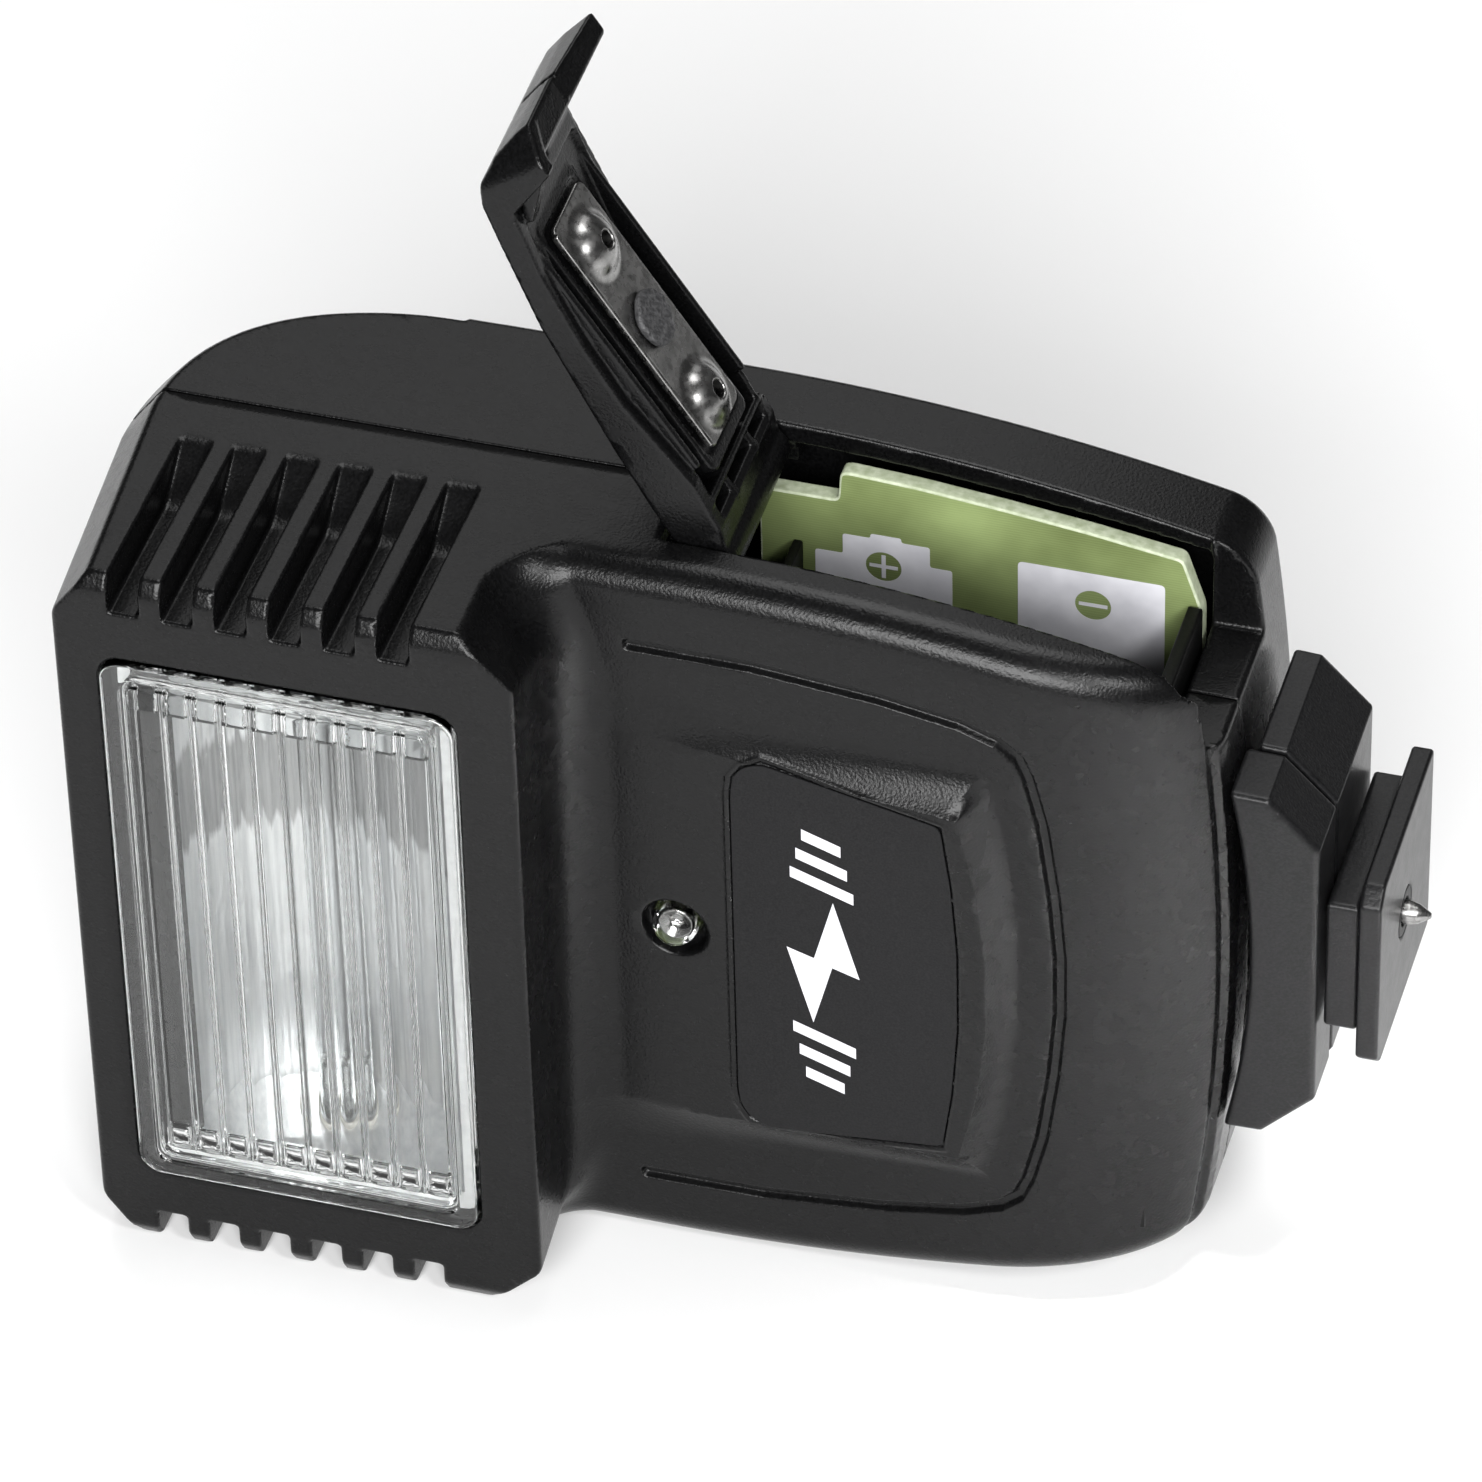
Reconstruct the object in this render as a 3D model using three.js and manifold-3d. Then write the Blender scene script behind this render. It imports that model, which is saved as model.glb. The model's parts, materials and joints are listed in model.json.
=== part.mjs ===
// Shoe-mount electronic flash gun with an open two-cell battery door.
// Millimetres. Lying on its side: +X runs to the shoe foot, +Y to the back, +Z to the battery door.
import * as THREE from 'three';
import { mergeVertices } from 'three/addons/utils/BufferGeometryUtils.js';
import Module from 'manifold-3d';

const wasm = await Module();
wasm.setup();

// ---- driving dimensions, in the layout frame: x=0 at the first vent, y=0 at the head's face, z=0 mid-plane
const ORIGIN = [46.2, 19.2, -35.3];
const HALF = 35.3;
const BACK = 38;
const SEAM = 23;
const SEAM_GAP = 0.15;
const WALL = 1.9;
const BARREL_START = 40;
const BARREL_R = 171;
const HEAD = { left: -4.7, right: 32.5, flat: 31, face: 33.8, half: 35.22 };
const VENT = { count: 6, pitch: 4.34, width: 2.48, depth: 3.5, run: 18.6 };
const WINDOW = { x0: -1.05, x1: 27.55, half: 27.2, proud: 0.4, thick: 2.2, corner: 2 };
const TUBE = { x: 13.25, y: 11, r: 2, bore: 1.4, half: 27.4 };
const CELL = { x: [54.2, 69.6], y: 22.7, r: 7.25 };
const HINGE = { x: 43.84, z: 33.3, open: 123.4, pin: 0.94, bore: 1.0, knuckle: 1.9 };
const DOOR = { y0: 15.8, y1: 31 };
const OPENING = { x0: 39.7, y0: 15.5, y1: 31.3, ledge: 22.3 };
const BOARD = { y0: 30.3, y1: 31.8 };
const FOOT = { block: 85.2, neck: 91.6, plate: 94.7, end: 96.5, half: 9.3 };
const PIN = { y: 26.6, tip: 98.6, travel: 1.2 };
const SEG = 24;

// ---- palette
const BLACK = 0x1b1b1c;
const DARK = 0x131314;
const STEEL = 0xc9cacb;
const GREEN = 0x6f8350;
const CLEAR = 0xe9eef0;

const barrel = (x) => HALF - Math.max(x - BARREL_START, 0) ** 2 / (2 * BARREL_R);

// ---- geometry helpers
function shapeOf(points, holes = []) {
  const shape = new THREE.Shape(points.map(([u, v]) => new THREE.Vector2(u, v)));
  for (const hole of holes) {
    shape.holes.push(new THREE.Path(hole.map(([u, v]) => new THREE.Vector2(u, v))));
  }
  return shape;
}

function extrude(points, depth, holes) {
  return new THREE.ExtrudeGeometry(shapeOf(points, holes), { depth, bevelEnabled: false });
}

// outline in (x, y), from z0 to z1
function prismZ(points, z0, z1, holes) {
  return solid(extrude(points, z1 - z0, holes).translate(0, 0, z0));
}

// outline in (x, z), from y0 to y1
function prismY(points, y0, y1, holes) {
  return solid(extrude(points, y1 - y0, holes).translate(0, 0, -y1).rotateX(Math.PI / 2));
}

// outline in (y, z), from x0 to x1
function prismX(points, x0, x1, holes) {
  const turn = new THREE.Matrix4().set(0, 0, 1, 0, 1, 0, 0, 0, 0, 1, 0, 0, 0, 0, 0, 1);
  return solid(extrude(points, x1 - x0, holes).translate(0, 0, x0).applyMatrix4(turn));
}

function box(x0, x1, y0, y1, z0, z1) {
  const geometry = new THREE.BoxGeometry(x1 - x0, y1 - y0, z1 - z0);
  return solid(geometry.translate((x0 + x1) / 2, (y0 + y1) / 2, (z0 + z1) / 2));
}

function aim(geometry, axis) {
  if (axis === 'x') {
    geometry.rotateZ(-Math.PI / 2);
  }
  if (axis === 'z') {
    geometry.rotateX(Math.PI / 2);
  }
  return geometry;
}

// cylinder along an axis, centred on (x, y, z)
function rod(axis, [x, y, z], radius, length, segments = SEG) {
  const geometry = new THREE.CylinderGeometry(radius, radius, length, segments);
  return solid(aim(geometry, axis).translate(x, y, z));
}

// turned piece: profile of [radius, height], closed on its axis
function turned(axis, [x, y, z], profile, segments = SEG) {
  const points = profile.map(([r, h]) => new THREE.Vector2(r, h));
  return solid(aim(new THREE.LatheGeometry(points, segments), axis).translate(x, y, z));
}

// stack of matching outlines along an axis, skinned and capped
function loft(axis, sections) {
  const place = { y: ([u, v], w) => [u, w, v], z: ([u, v], w) => [u, v, w] }[axis];
  const count = sections[0].points.length;
  const flat = sections.map((s) => s.points.map(([u, v]) => new THREE.Vector2(u, v)));
  if (THREE.ShapeUtils.area(flat[0]) < 0) {
    flat.forEach((ring) => ring.reverse());
  }
  const position = flat.flatMap((ring, k) => ring.flatMap((p) => place([p.x, p.y], sections[k].at)));
  const index = [];
  for (let s = 0; s + 1 < sections.length; s++) {
    for (let i = 0; i < count; i++) {
      const a = s * count + i;
      const b = s * count + ((i + 1) % count);
      index.push(a, b, b + count, a, b + count, a + count);
    }
  }
  const cap = (k) => THREE.ShapeUtils.triangulateShape(flat[k], []).map(([a, b, c]) => (
    THREE.ShapeUtils.area([flat[k][a], flat[k][b], flat[k][c]]) > 0 ? [a, b, c] : [a, c, b]));
  const last = (sections.length - 1) * count;
  for (const [a, b, c] of cap(0)) {
    index.push(c, b, a);
  }
  for (const [a, b, c] of cap(sections.length - 1)) {
    index.push(last + a, last + b, last + c);
  }
  const geometry = new THREE.BufferGeometry();
  geometry.setAttribute('position', new THREE.Float32BufferAttribute(position, 3));
  geometry.setIndex(index);
  return solid(geometry);
}

function solid(geometry) {
  geometry.deleteAttribute('normal');
  geometry.deleteAttribute('uv');
  const merged = mergeVertices(geometry, 1e-4);
  const vertProperties = new Float32Array(merged.attributes.position.array);
  const kept = [];
  const order = merged.index.array;
  for (let i = 0; i < order.length; i += 3) {
    const [a, b, c] = [order[i], order[i + 1], order[i + 2]];
    if (a !== b && b !== c && c !== a) {
      kept.push(a, b, c);
    }
  }
  const build = (list) => new wasm.Manifold(
    new wasm.Mesh({ numProp: 3, vertProperties, triVerts: new Uint32Array(list) }));
  const made = build(kept);
  if (made.volume() > 0) {
    return made;
  }
  const flipped = [];
  for (let i = 0; i < kept.length; i += 3) {
    flipped.push(kept[i], kept[i + 2], kept[i + 1]);
  }
  return build(flipped);
}

const join = (first, ...rest) => rest.reduce((a, b) => a.add(b), first);
const cut = (first, ...rest) => rest.reduce((a, b) => a.subtract(b), first);

// both halves of an outline given for z >= 0, joined into one ring
const mirrored = (points) => [...points, ...points.slice().reverse().map(([u, v]) => [u, -v])];

function roundedBox2(u0, u1, v0, v1, r, steps = 4) {
  const ring = [];
  const centres = [[u1 - r, v1 - r, 0], [u0 + r, v1 - r, 1], [u0 + r, v0 + r, 2], [u1 - r, v0 + r, 3]];
  for (const [cu, cv, start] of centres) {
    for (let i = 0; i <= steps; i++) {
      const angle = (start + i / steps) * Math.PI / 2;
      ring.push([cu + r * Math.cos(angle), cv + r * Math.sin(angle)]);
    }
  }
  return ring;
}

const root = new THREE.Group();
root.position.set(-ORIGIN[0], -ORIGIN[1], -ORIGIN[2]);

function piece(name, manifold, color, roughness = 0.6, metalness = 0, parent = root) {
  const mesh = manifold.getMesh();
  const geometry = new THREE.BufferGeometry();
  geometry.setAttribute('position', new THREE.BufferAttribute(new Float32Array(mesh.vertProperties), 3));
  geometry.setIndex(new THREE.BufferAttribute(new Uint32Array(mesh.triVerts), 1));
  geometry.computeVertexNormals();
  const material = new THREE.MeshStandardMaterial({ color, roughness, metalness });
  const node = new THREE.Mesh(geometry, material);
  node.name = name;
  parent.add(node);
  return node;
}

// ---- outer form of the housing
// head: outlines in (x, y) at stations across the width, chamfered at every corner
function headForm() {
  const mid = [[HEAD.left, 0], [HEAD.right, 0], [HEAD.right, 14], [HEAD.right, BACK], [17.5, BACK],
    [11.4, 37.8], [5.2, 36.6], [-1, 33], [-4, 28.6], [-5.6, 24], [-6.2, 21]];
  const side = [[-1.6, 0.9], [28.1, 0.9], [28.1, 14], [28.1, BACK - 0.2], [17.5, BACK - 0.2],
    [11.9, 37.3], [6.6, 35.8], [1.2, 32.1], [-1.5, 27.5], [-2.8, 23], [-3.8, 21]];
  const blend = (t, y) => mid.map(([x, v], i) => [x + t * (side[i][0] - x),
    i < 2 ? y : v + t * (side[i][1] - v)]);
  const part = (HEAD.face - HEAD.flat) / (HEAD.half - HEAD.flat);
  const half = [{ at: HEAD.flat, points: mid }, { at: HEAD.face, points: blend(part, 0) },
    { at: HEAD.half, points: side }];
  return loft('z', [...half.slice().reverse().map(({ at, points }) => ({ at: -at, points })), ...half]);
}

// body: outlines in (x, z) at stations from front to back, rolled over at the front edge
function bodyOutline(end, inset, from = 26) {
  const shift = end - 84.9;
  const top = barrel(79.3 + shift) - inset;
  const squeeze = top / barrel(79.3);
  const sides = [0, 0.27, 0.45, 0.6, 0.75, 0.88, 1].map((t) => {
    const x = from + t * (79.3 + shift - from);
    return [x, barrel(x) - inset];
  });
  const tip = [[81.2, 30], [82.4, 28], [83.5, 22.5], [84.4, 14], [84.8, 6]]
    .map(([x, z]) => [x + shift, z * squeeze]);
  return mirrored([...sides, ...tip]);
}

function bodyForm() {
  const stations = [[10.8, 72, 3], [11.2, 76.5, 1.8], [12.2, 80.3, 0.75], [13.8, 82.8, 0.12], [16.5, 84.2, 0],
    [19, 84.8, 0], [36.4, 84.6, 0], [37.5, 83.9, 0.4], [BACK, 82.8, 1.4]];
  return loft('y', stations.map(([at, end, inset]) => ({ at, points: bodyOutline(end, inset) })));
}

// raised label pad: a wedge that grows toward the foot, so its sloping sides widen into crescents
function labelPad() {
  const foot = mirrored([[30, 23.6], [38, 24], [48, 22.4], [58, 22], [66.9, 21.6], [68.4, 14], [69.3, 5]]);
  const crown = mirrored([[30, 19.8], [43, 19.6], [50, 18.9], [57, 18.4], [64.9, 17.9], [66.4, 11],
    [67.2, 4]]);
  const flare = loft('y', [
    { at: 8.2, points: crown }, { at: 10.9, points: foot }, { at: 11.6, points: foot },
  ]);
  const wedge = prismZ([[32, 11.6], [32, 9.6], [37, 10.35], [67.4, 8.3], [70, 10.9], [70, 11.6]], -26, 26);
  return wedge.intersect(flare);
}

// concave sweep from the head's end face into the cover
function headSweep() {
  const outline = [[31.8, 6], [32.5, 6], [33.1, 7.9], [34.2, 9.3], [36, 10.3], [38.4, 10.85], [38.4, 12],
    [31.8, 12]];
  return loft('z', [
    { at: -33.6, points: outline.map(([x, y]) => [Math.min(x, 33.4), Math.max(y, 10.9)]) },
    { at: -29.5, points: outline }, { at: 29.5, points: outline },
    { at: 33.6, points: outline.map(([x, y]) => [Math.min(x, 33.4), Math.max(y, 10.9)]) },
  ]);
}

const chamferCut = (s) => loft('y', [
  { at: -1, points: [[28.1, s * 36], [33.5, s * 36], [33.5, s * 31], [32.5, s * 31]] },
  { at: 12, points: [[28.1, s * 36], [33.5, s * 36], [33.5, s * 27.8], [32.5, s * 27.8]] },
]);

function housing() {
  const head = cut(headForm(), chamferCut(1), chamferCut(-1));
  return join(head, bodyForm(), labelPad(), headSweep());
}

// inside of the housing
function housingCavity() {
  const head = prismZ([[-2.6, 2.1], [30.4, 2.1], [30.4, 36.1], [8, 36.1], [2, 32.6], [-1.4, 27.5],
    [-2.9, 21]],
    -29.9, 29.9);
  const body = prismY(bodyOutline(84.9, 0, 26).map(([x, z]) => [Math.min(x, 79.4), z - Math.sign(z) * WALL]),
    12.9, 36.1);
  return join(head, body);
}

const windowHole = prismY(roundedBox2(WINDOW.x0 - 0.3, WINDOW.x1 + 0.3, -WINDOW.half - 0.3, WINDOW.half + 0.3,
  WINDOW.corner), -1, 3);

// cut for the battery door: through the side wall and down over the end shoulder
const doorHole = join(
  box(OPENING.x0, 79.6, OPENING.y0, OPENING.y1, 24, 40),
  box(79.4, 90, OPENING.y0, OPENING.y1, OPENING.ledge, 40));

function vents(side) {
  const floor = HALF - VENT.depth;
  const outline = [[-1, floor - 0.6], [0, floor], [13.2, floor + 0.2], [16, floor + 1.3],
    [VENT.run, HALF + 0.3], [-1, 37]];
  const cuts = [];
  for (let i = 0; i < VENT.count; i++) {
    const x = i * VENT.pitch;
    cuts.push(prismX(outline.map(([y, z]) => [y, side * z]), x, x + VENT.width));
  }
  return cuts;
}

// U-shaped groove round the label pad
function coverGroove() {
  const line = (d) => mirrored([[38.3, 28.1 - d], [48, 28 - d], [58, 27 - d], [64.5, 25.8 - d],
    [68, 24.4 - d], [69.9 - d, 21.9], [71.1 - d, 16.5], [72.1 - d, 9], [72.5 - d, 2]]);
  const outer = line(0);
  const inner = line(0.7);
  const half = outer.length / 2;
  const band = [...outer.slice(0, half), ...outer.slice(half), ...inner.slice().reverse()];
  return prismY(band, 9, 11.25);
}

const hingeBoss = (y0, y1) => box(41.7, 46, y0, y1, 30.9, 34.4);
const hingeBore = rod('y', [HINGE.x, 23.9, HINGE.z], HINGE.bore, 22.8, 16);

// housing screws, [x, z]
const SCREWS = [[1.4, 26.4], [1.4, -26.4], [81.8, 15], [81.8, -15]];

const screwHoles = SCREWS.map(([x, z]) => join(
  rod('y', [x, BACK, z], 2.05, 12.6, 16), rod('y', [x, 28, z], 1.15, 18.4, 12)));

const LED = { x: 41.45, z: 0, face: 9.8 };
const ledHole = join(rod('y', [LED.x, 11, 0], 2.15, 6, SEG),
  turned('y', [LED.x, 0, 0], [[0, 9], [3.1, 9], [2.9, 9.9], [2.15, 10.9], [0, 10.9]], SEG));

const LABEL = mirrored([[46.5, 15.5], [47, 17.9], [48.6, 19.2], [51.5, 18.9], [57, 18.0], [63.6, 16.9],
  [64.4, 11], [64.9, 4]]);
const labelPocket = loft('y', [
  { at: 5, points: LABEL }, { at: 12, points: LABEL },
]).intersect(prismZ([[44, 5], [67, 5], [67, 8.73], [44, 10.28]], -25, 25));

function frontShell() {
  const front = box(-20, 120, -5, SEAM - SEAM_GAP, -60, 60);
  const shell = cut(housing().intersect(front), housingCavity(), windowHole, ...vents(1), ...vents(-1),
    coverGroove(), ledHole, labelPocket, ...screwHoles);
  const posts = [26.4, -26.4].map((z) => box(-2.9, 4, 15.2, SEAM - SEAM_GAP, z - 3.6, z + 3.6));
  const held = join(shell, ...posts.map((p) => cut(p, ...screwHoles)));
  return cut(join(cut(held, doorHole), hingeBoss(12.6, OPENING.y0 - 0.2)), hingeBore);
}

const boardOutline = [[43.2, 29.2], [49.6, 29.2], [49.9, 32.1], [56, 31.75], [63, 31], [70, 30.1],
  [77.3, 28.9], [78.9, 24], [79, -27], [43.2, -27]];
const SWITCH = { x: 62, slot: 8, knob: 4, travel: 4 };
const BUTTON = { x: 38, r: 3.2, travel: 0.8 };
const LAMP = { x: 48, r: 1.6 };

function rearShell() {
  const rear = box(-20, 120, SEAM + SEAM_GAP, 60, -60, 60);
  const shell = cut(housing().intersect(rear), housingCavity(), doorHole);
  const posts = [26.4, -26.4].map((z) => box(-1.2, 4, SEAM + SEAM_GAP, 34, z - 3.6, z + 3.6)
    .intersect(housing()));
  const whole = join(shell, ...posts, hingeBoss(OPENING.y1 + 0.2, 37));
  const boardSlot = prismY(boardOutline.map(([x, z]) => [x, z + Math.sign(z) * 0.3]), 30, BOARD.y1 + 0.3);
  return cut(whole, ...screwHoles, hingeBore, boardSlot,
    box(SWITCH.x - 1.7, SWITCH.x + 1.7, 35, 40, -SWITCH.slot / 2, SWITCH.slot / 2),
    rod('y', [BUTTON.x, BACK, 0], BUTTON.r + 0.25, 8), rod('y', [LAMP.x, BACK, 0], LAMP.r + 0.25, 8, 16));
}

piece('front_shell', frontShell(), BLACK, 0.55);
piece('rear_shell', rearShell(), BLACK, 0.55);

const labelPlate = loft('y', [
  { at: 5, points: LABEL.map(([x, z]) => [x + (x < 55 ? 0.15 : -0.15), z * 0.985]) },
  { at: 12, points: LABEL.map(([x, z]) => [x + (x < 55 ? 0.15 : -0.15), z * 0.985]) },
]).intersect(prismZ([[44, 9.88], [67, 8.33], [67, 8.62], [44, 10.17]], -25, 25));
piece('label_plate', labelPlate, DARK, 0.45);

// ---- flash head
function windowLens() {
  const pane = prismY(roundedBox2(WINDOW.x0, WINDOW.x1, -WINDOW.half, WINDOW.half, WINDOW.corner),
    -WINDOW.proud, WINDOW.thick);
  const flutes = [];
  for (let i = 0; i < 10; i++) {
    const x = 1.2 + i * 2.41;
    flutes.push(prismZ([[x + 0.25, 2.5], [x + 1.2, 1.3], [x + 2.15, 2.5]], -24.6, 24.6));
  }
  return cut(pane, ...flutes);
}
piece('window_lens', windowLens(), CLEAR, 0.05);

function trough(grow) {
  const arc = [[13.6, 2.8], [12.6, 6], [10.6, 9.4], [7.4, 12.6], [3.6, 14.4], [0, 15]];
  const right = arc.map(([u, v]) => [TUBE.x + u + grow, v + (v > 2.8 ? grow : 0)]);
  const left = arc.slice(0, -1).reverse().map(([u, v]) => [TUBE.x - u - grow, v + (v > 2.8 ? grow : 0)]);
  return [...right, ...left];
}
const reflector = cut(
  prismZ(trough(0), -26.9, 26.9), prismZ(trough(-0.5).map(([x, y]) => [x, y < 3 ? 2 : y]), -26.3, 26.3),
  rod('z', [TUBE.x, TUBE.y, 0], 3, 60, SEG));
piece('reflector', reflector, STEEL, 0.15, 0.9);
piece('flash_tube', cut(rod('z', [TUBE.x, TUBE.y, 0], TUBE.r, 2 * TUBE.half), rod('z', [TUBE.x, TUBE.y, 0],
  TUBE.bore, 60)), CLEAR, 0.05);
for (const [side, label] of [[1, 'upper'], [-1, 'lower']]) {
  piece(`tube_electrode_${label}`, join(rod('z', [TUBE.x, TUBE.y, side * 25], 1.1, 9, 12),
    rod('z', [TUBE.x, TUBE.y, side * 28.45], 1.9, 1.3, 16)), STEEL, 0.35, 0.8);
  const ring = cut(rod('z', [TUBE.x, TUBE.y, side * 26.6], 2.7, 1.6, SEG),
    rod('z', [TUBE.x, TUBE.y, side * 26.6], 2.3, 3, SEG));
  piece(`tube_grommet_${label}`, ring, 0xd8d4cc, 0.7);
}

// ---- power parts inside the housing
piece('flash_capacitor', turned('z', [14.5, 26.2, -20], [[0, 0], [7.4, 0], [8.3, 0.8], [8.3, 38.2], [7.4, 39],
  [5.6, 39], [5.2, 38.4], [0, 38.4]], 28), 0x23262b, 0.4);
piece('trigger_coil', turned('z', [27.3, 30.6, 4], [[0, 0], [4, 0], [4, 1.4], [2.6, 1.4], [2.6, 10], [4, 10],
  [4, 11.4], [0, 11.4]], 20), 0x8c5a2b, 0.5);
const core = cut(box(33.6, 43.4, 17.4, 29.6, -21, -9), box(33, 44, 19.6, 27.4, -19.4, -16.9),
  box(33, 44, 19.6, 27.4, -13.1, -10.6));
piece('transformer_core', core, 0x3b3b3d, 0.7);
const winding = cut(box(32.6, 44.4, 20.0, 27.0, -19.1, -10.9), box(33.3, 43.7, 19, 28, -17.2, -12.8));
piece('transformer_winding', winding, 0xb87333, 0.4);

piece('circuit_board', prismY(boardOutline, BOARD.y0, BOARD.y1), GREEN, 0.5);

function batteryTray() {
  const outer = box(46, 79, 13.2, 30, -26.6, 24.8);
  const room = box(46.8, 77.8, 14.6, 31, -25, 40);
  const rib = box(61.6, 62.2, 14, 17.6, -25.5, 20);
  return join(cut(outer, room), rib);
}
piece('battery_tray', batteryTray(), DARK, 0.7);

function springWire() {
  const turns = 3.5;
  const points = [];
  const steps = 46;
  for (let i = 0; i <= steps; i++) {
    const t = i / steps;
    const angle = t * turns * 2 * Math.PI;
    const r = 5.2 - 2.4 * t;
    points.push(new THREE.Vector3(CELL.x[0] + r * Math.cos(angle), CELL.y + r * Math.sin(angle),
      -23.7 + 6 * t));
  }
  const path = new THREE.CatmullRomCurve3(points);
  const ring = new THREE.Shape();
  ring.absarc(0, 0, 0.38, 0, 2 * Math.PI, false);
  return solid(new THREE.ExtrudeGeometry(ring, { steps: 70, bevelEnabled: false, curveSegments: 3,
    extrudePath: path }));
}
piece('cell_spring', springWire(), STEEL, 0.3, 0.9);
const cellPlate = (x) => box(x - 5.6, x + 5.6, CELL.y - 5.6, CELL.y + 5.6, -24.7, -24.4);
piece('spring_plate', cellPlate(CELL.x[0]), STEEL, 0.3, 0.9);
piece('button_plate', join(cellPlate(CELL.x[1]),
  turned('z', [CELL.x[1], CELL.y, -24.5], [[0, 0], [3.2, 0], [2.6, 1], [0, 1.2]], 20)), STEEL, 0.3, 0.9);

// ---- sensor and front lamp
piece('sensor_dome', turned('y', [LED.x, 0, 0], [[0, 9.1], [0.9, 9.25], [1.5, 9.75], [1.8, 10.5], [1.8, 13.2],
  [0, 13.2]], 20), CLEAR, 0.05);
piece('sensor_board', box(37, 45.5, 13.5, 14.7, -6, 6), GREEN, 0.5);

// ---- battery door, drawn closed and turned about its hinge
const door = new THREE.Group();
door.position.set(HINGE.x, 0, HINGE.z);
door.rotation.y = -THREE.MathUtils.degToRad(HINGE.open);
root.add(door);
const doorParts = new THREE.Group();
doorParts.position.set(-HINGE.x, 0, -HINGE.z);
door.add(doorParts);

const SKIN = [[45.6, 35.15], [50, 35], [56, 34.5], [62, 33.8], [68.3, 33.05], [75.9, 31.45], [79.6, 30.6],
  [81.2, 29.7], [82.4, 27.8], [83.2, 25.6], [84.1, 22.1]];

function batteryDoor() {
  const lip = [[82.5, 22.1], [81.3, 23.7], [77.9, 28.7]];
  // the lip's free edge is slanted: it reaches further down towards the back
  const belowLip = prismX([[14, 23.95], [23.6, 23.95], [32, 22.1], [32, 20], [14, 20]], 81, 90);
  const under = [[72.2, 30], [65.6, 30.8], [59.5, 31.1], [54.6, 30.6], [50.8, 30.3], [46.4, 30.9],
    [44.6, 31.6]];
  const flange = [...SKIN, ...lip, ...under];
  const skinUnder = [[75.5, 29.8], [68, 31.4], [62, 32.2], [56, 32.9], [50, 33.3], [45.6, 33.4]];
  const skin = prismY([...SKIN, ...lip, ...skinUnder], DOOR.y0, DOOR.y1);
  const sideWalls = join(prismY(flange, DOOR.y0, DOOR.y0 + 1.6), prismY(flange, DOOR.y1 - 1.6, DOOR.y1));
  const rails = join(box(50.2, 76, 18.2, 18.9, 29.6, 32), box(50.2, 76, 26.9, 27.6, 29.6, 32));
  const inSkin = prismY([[50, 29], [76.2, 29], [76.2, 30.6], [68, 32.3], [62, 33.1], [56, 33.8], [50, 34.2]],
    DOOR.y0, DOOR.y1);
  const pedestal = join(box(50.2, 76, 18.8, 27, 30.1, 33), rails).intersect(inSkin);
  const ribs = join(box(46.2, 47.2, 16, 31, 31, 34), box(48.4, 49.2, 16, 31, 30.6, 34));
  const knuckle = join(rod('y', [HINGE.x, (DOOR.y0 + DOOR.y1) / 2, HINGE.z],
    HINGE.knuckle, DOOR.y1 - DOOR.y0, SEG),
    prismY([[43.84, 35.1], [46, 35.1], [46, 31.6], [43.84, 31.5]], DOOR.y0, DOOR.y1));
  const hook = prismY([[78.1, 28.7], [80.2, 25.2], [79.6, 24.8], [77.1, 28.2]], 16.6, 18.4);
  // the rear wall is thinned where it closes over the circuit board
  const boardRelief = prismY(boardOutline.map(([x, z]) => [x + (x > 75 ? 0.4 : -1.2),
    z + Math.sign(z) * 0.5]),
    BOARD.y0 - 0.4, DOOR.y1 + 1);
  const body = join(skin, sideWalls, pedestal, ribs, knuckle, hook);
  return cut(body, boardRelief, belowLip, rod('y', [HINGE.x, 23, HINGE.z], HINGE.bore, 40, 16),
    rod('z', [61.9, 23, 30], 1.3, 3, 16));
}
piece('battery_door', batteryDoor(), BLACK, 0.55, 0, doorParts);

function contactPlate() {
  const plate = prismZ(roundedBox2(51.2, 73.6, 19.3, 26.6, 0.8, 2), 29.4, 29.75);
  const domes = CELL.x.map((x) => turned('z', [x, CELL.y + 0.25, 29.5], [[0, 0], [2.9, 0], [2.5, 0.75],
    [1.6, 1.3], [0, 1.45]].map(([r, h]) => [r, -h]), 20));
  const holes = CELL.x.map((x) => rod('z', [x, CELL.y + 0.25, 29], 0.7, 6, 12));
  return cut(join(plate, ...domes), ...holes, rod('z', [61.9, 23, 29], 1.3, 6, 16));
}
piece('door_contact_plate', contactPlate(), STEEL, 0.2, 1, doorParts);
piece('door_rivet', turned('z', [61.9, 23, 28.5], [[0, 0], [2, 0], [2.3, 0.25], [2.2, 0.6], [1, 0.6],
  [1, 2.4], [0, 2.4]], 20), DARK, 0.8, 0, doorParts);

const pinGeometry = rod('y', [HINGE.x, (12.9 + 34.5) / 2, HINGE.z], HINGE.pin, 34.5 - 12.9, 16);
piece('hinge_pin', pinGeometry, STEEL, 0.3, 1);

// ---- shoe foot
const blockOutline = mirrored([[FOOT.block, 17.7], [87.4, 17.6], [FOOT.neck, 13.2]]);
const frontBlock = loft('y', [
  { at: 17.2, points: blockOutline.map(([x, z]) => [x === FOOT.neck ? x - 0.5 : x, z * 0.97]) },
  { at: 17.7, points: blockOutline }, { at: 23.05, points: blockOutline },
]);
const pinBore = rod('x', [90, PIN.y, 0], 2.6, 12, SEG);
const sweepCut = rod('y', [36, 20, 0], 49.85, 8, 96);
piece('foot_block_front', cut(frontBlock, sweepCut), BLACK, 0.5);
const rearBlock = loft('y', [
  { at: 23.35, points: blockOutline }, { at: 34.6, points: blockOutline },
  { at: 35.3, points: blockOutline.map(([x, z]) => [x === FOOT.neck ? x - 0.6 : x, z * 0.96]) },
]);
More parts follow.
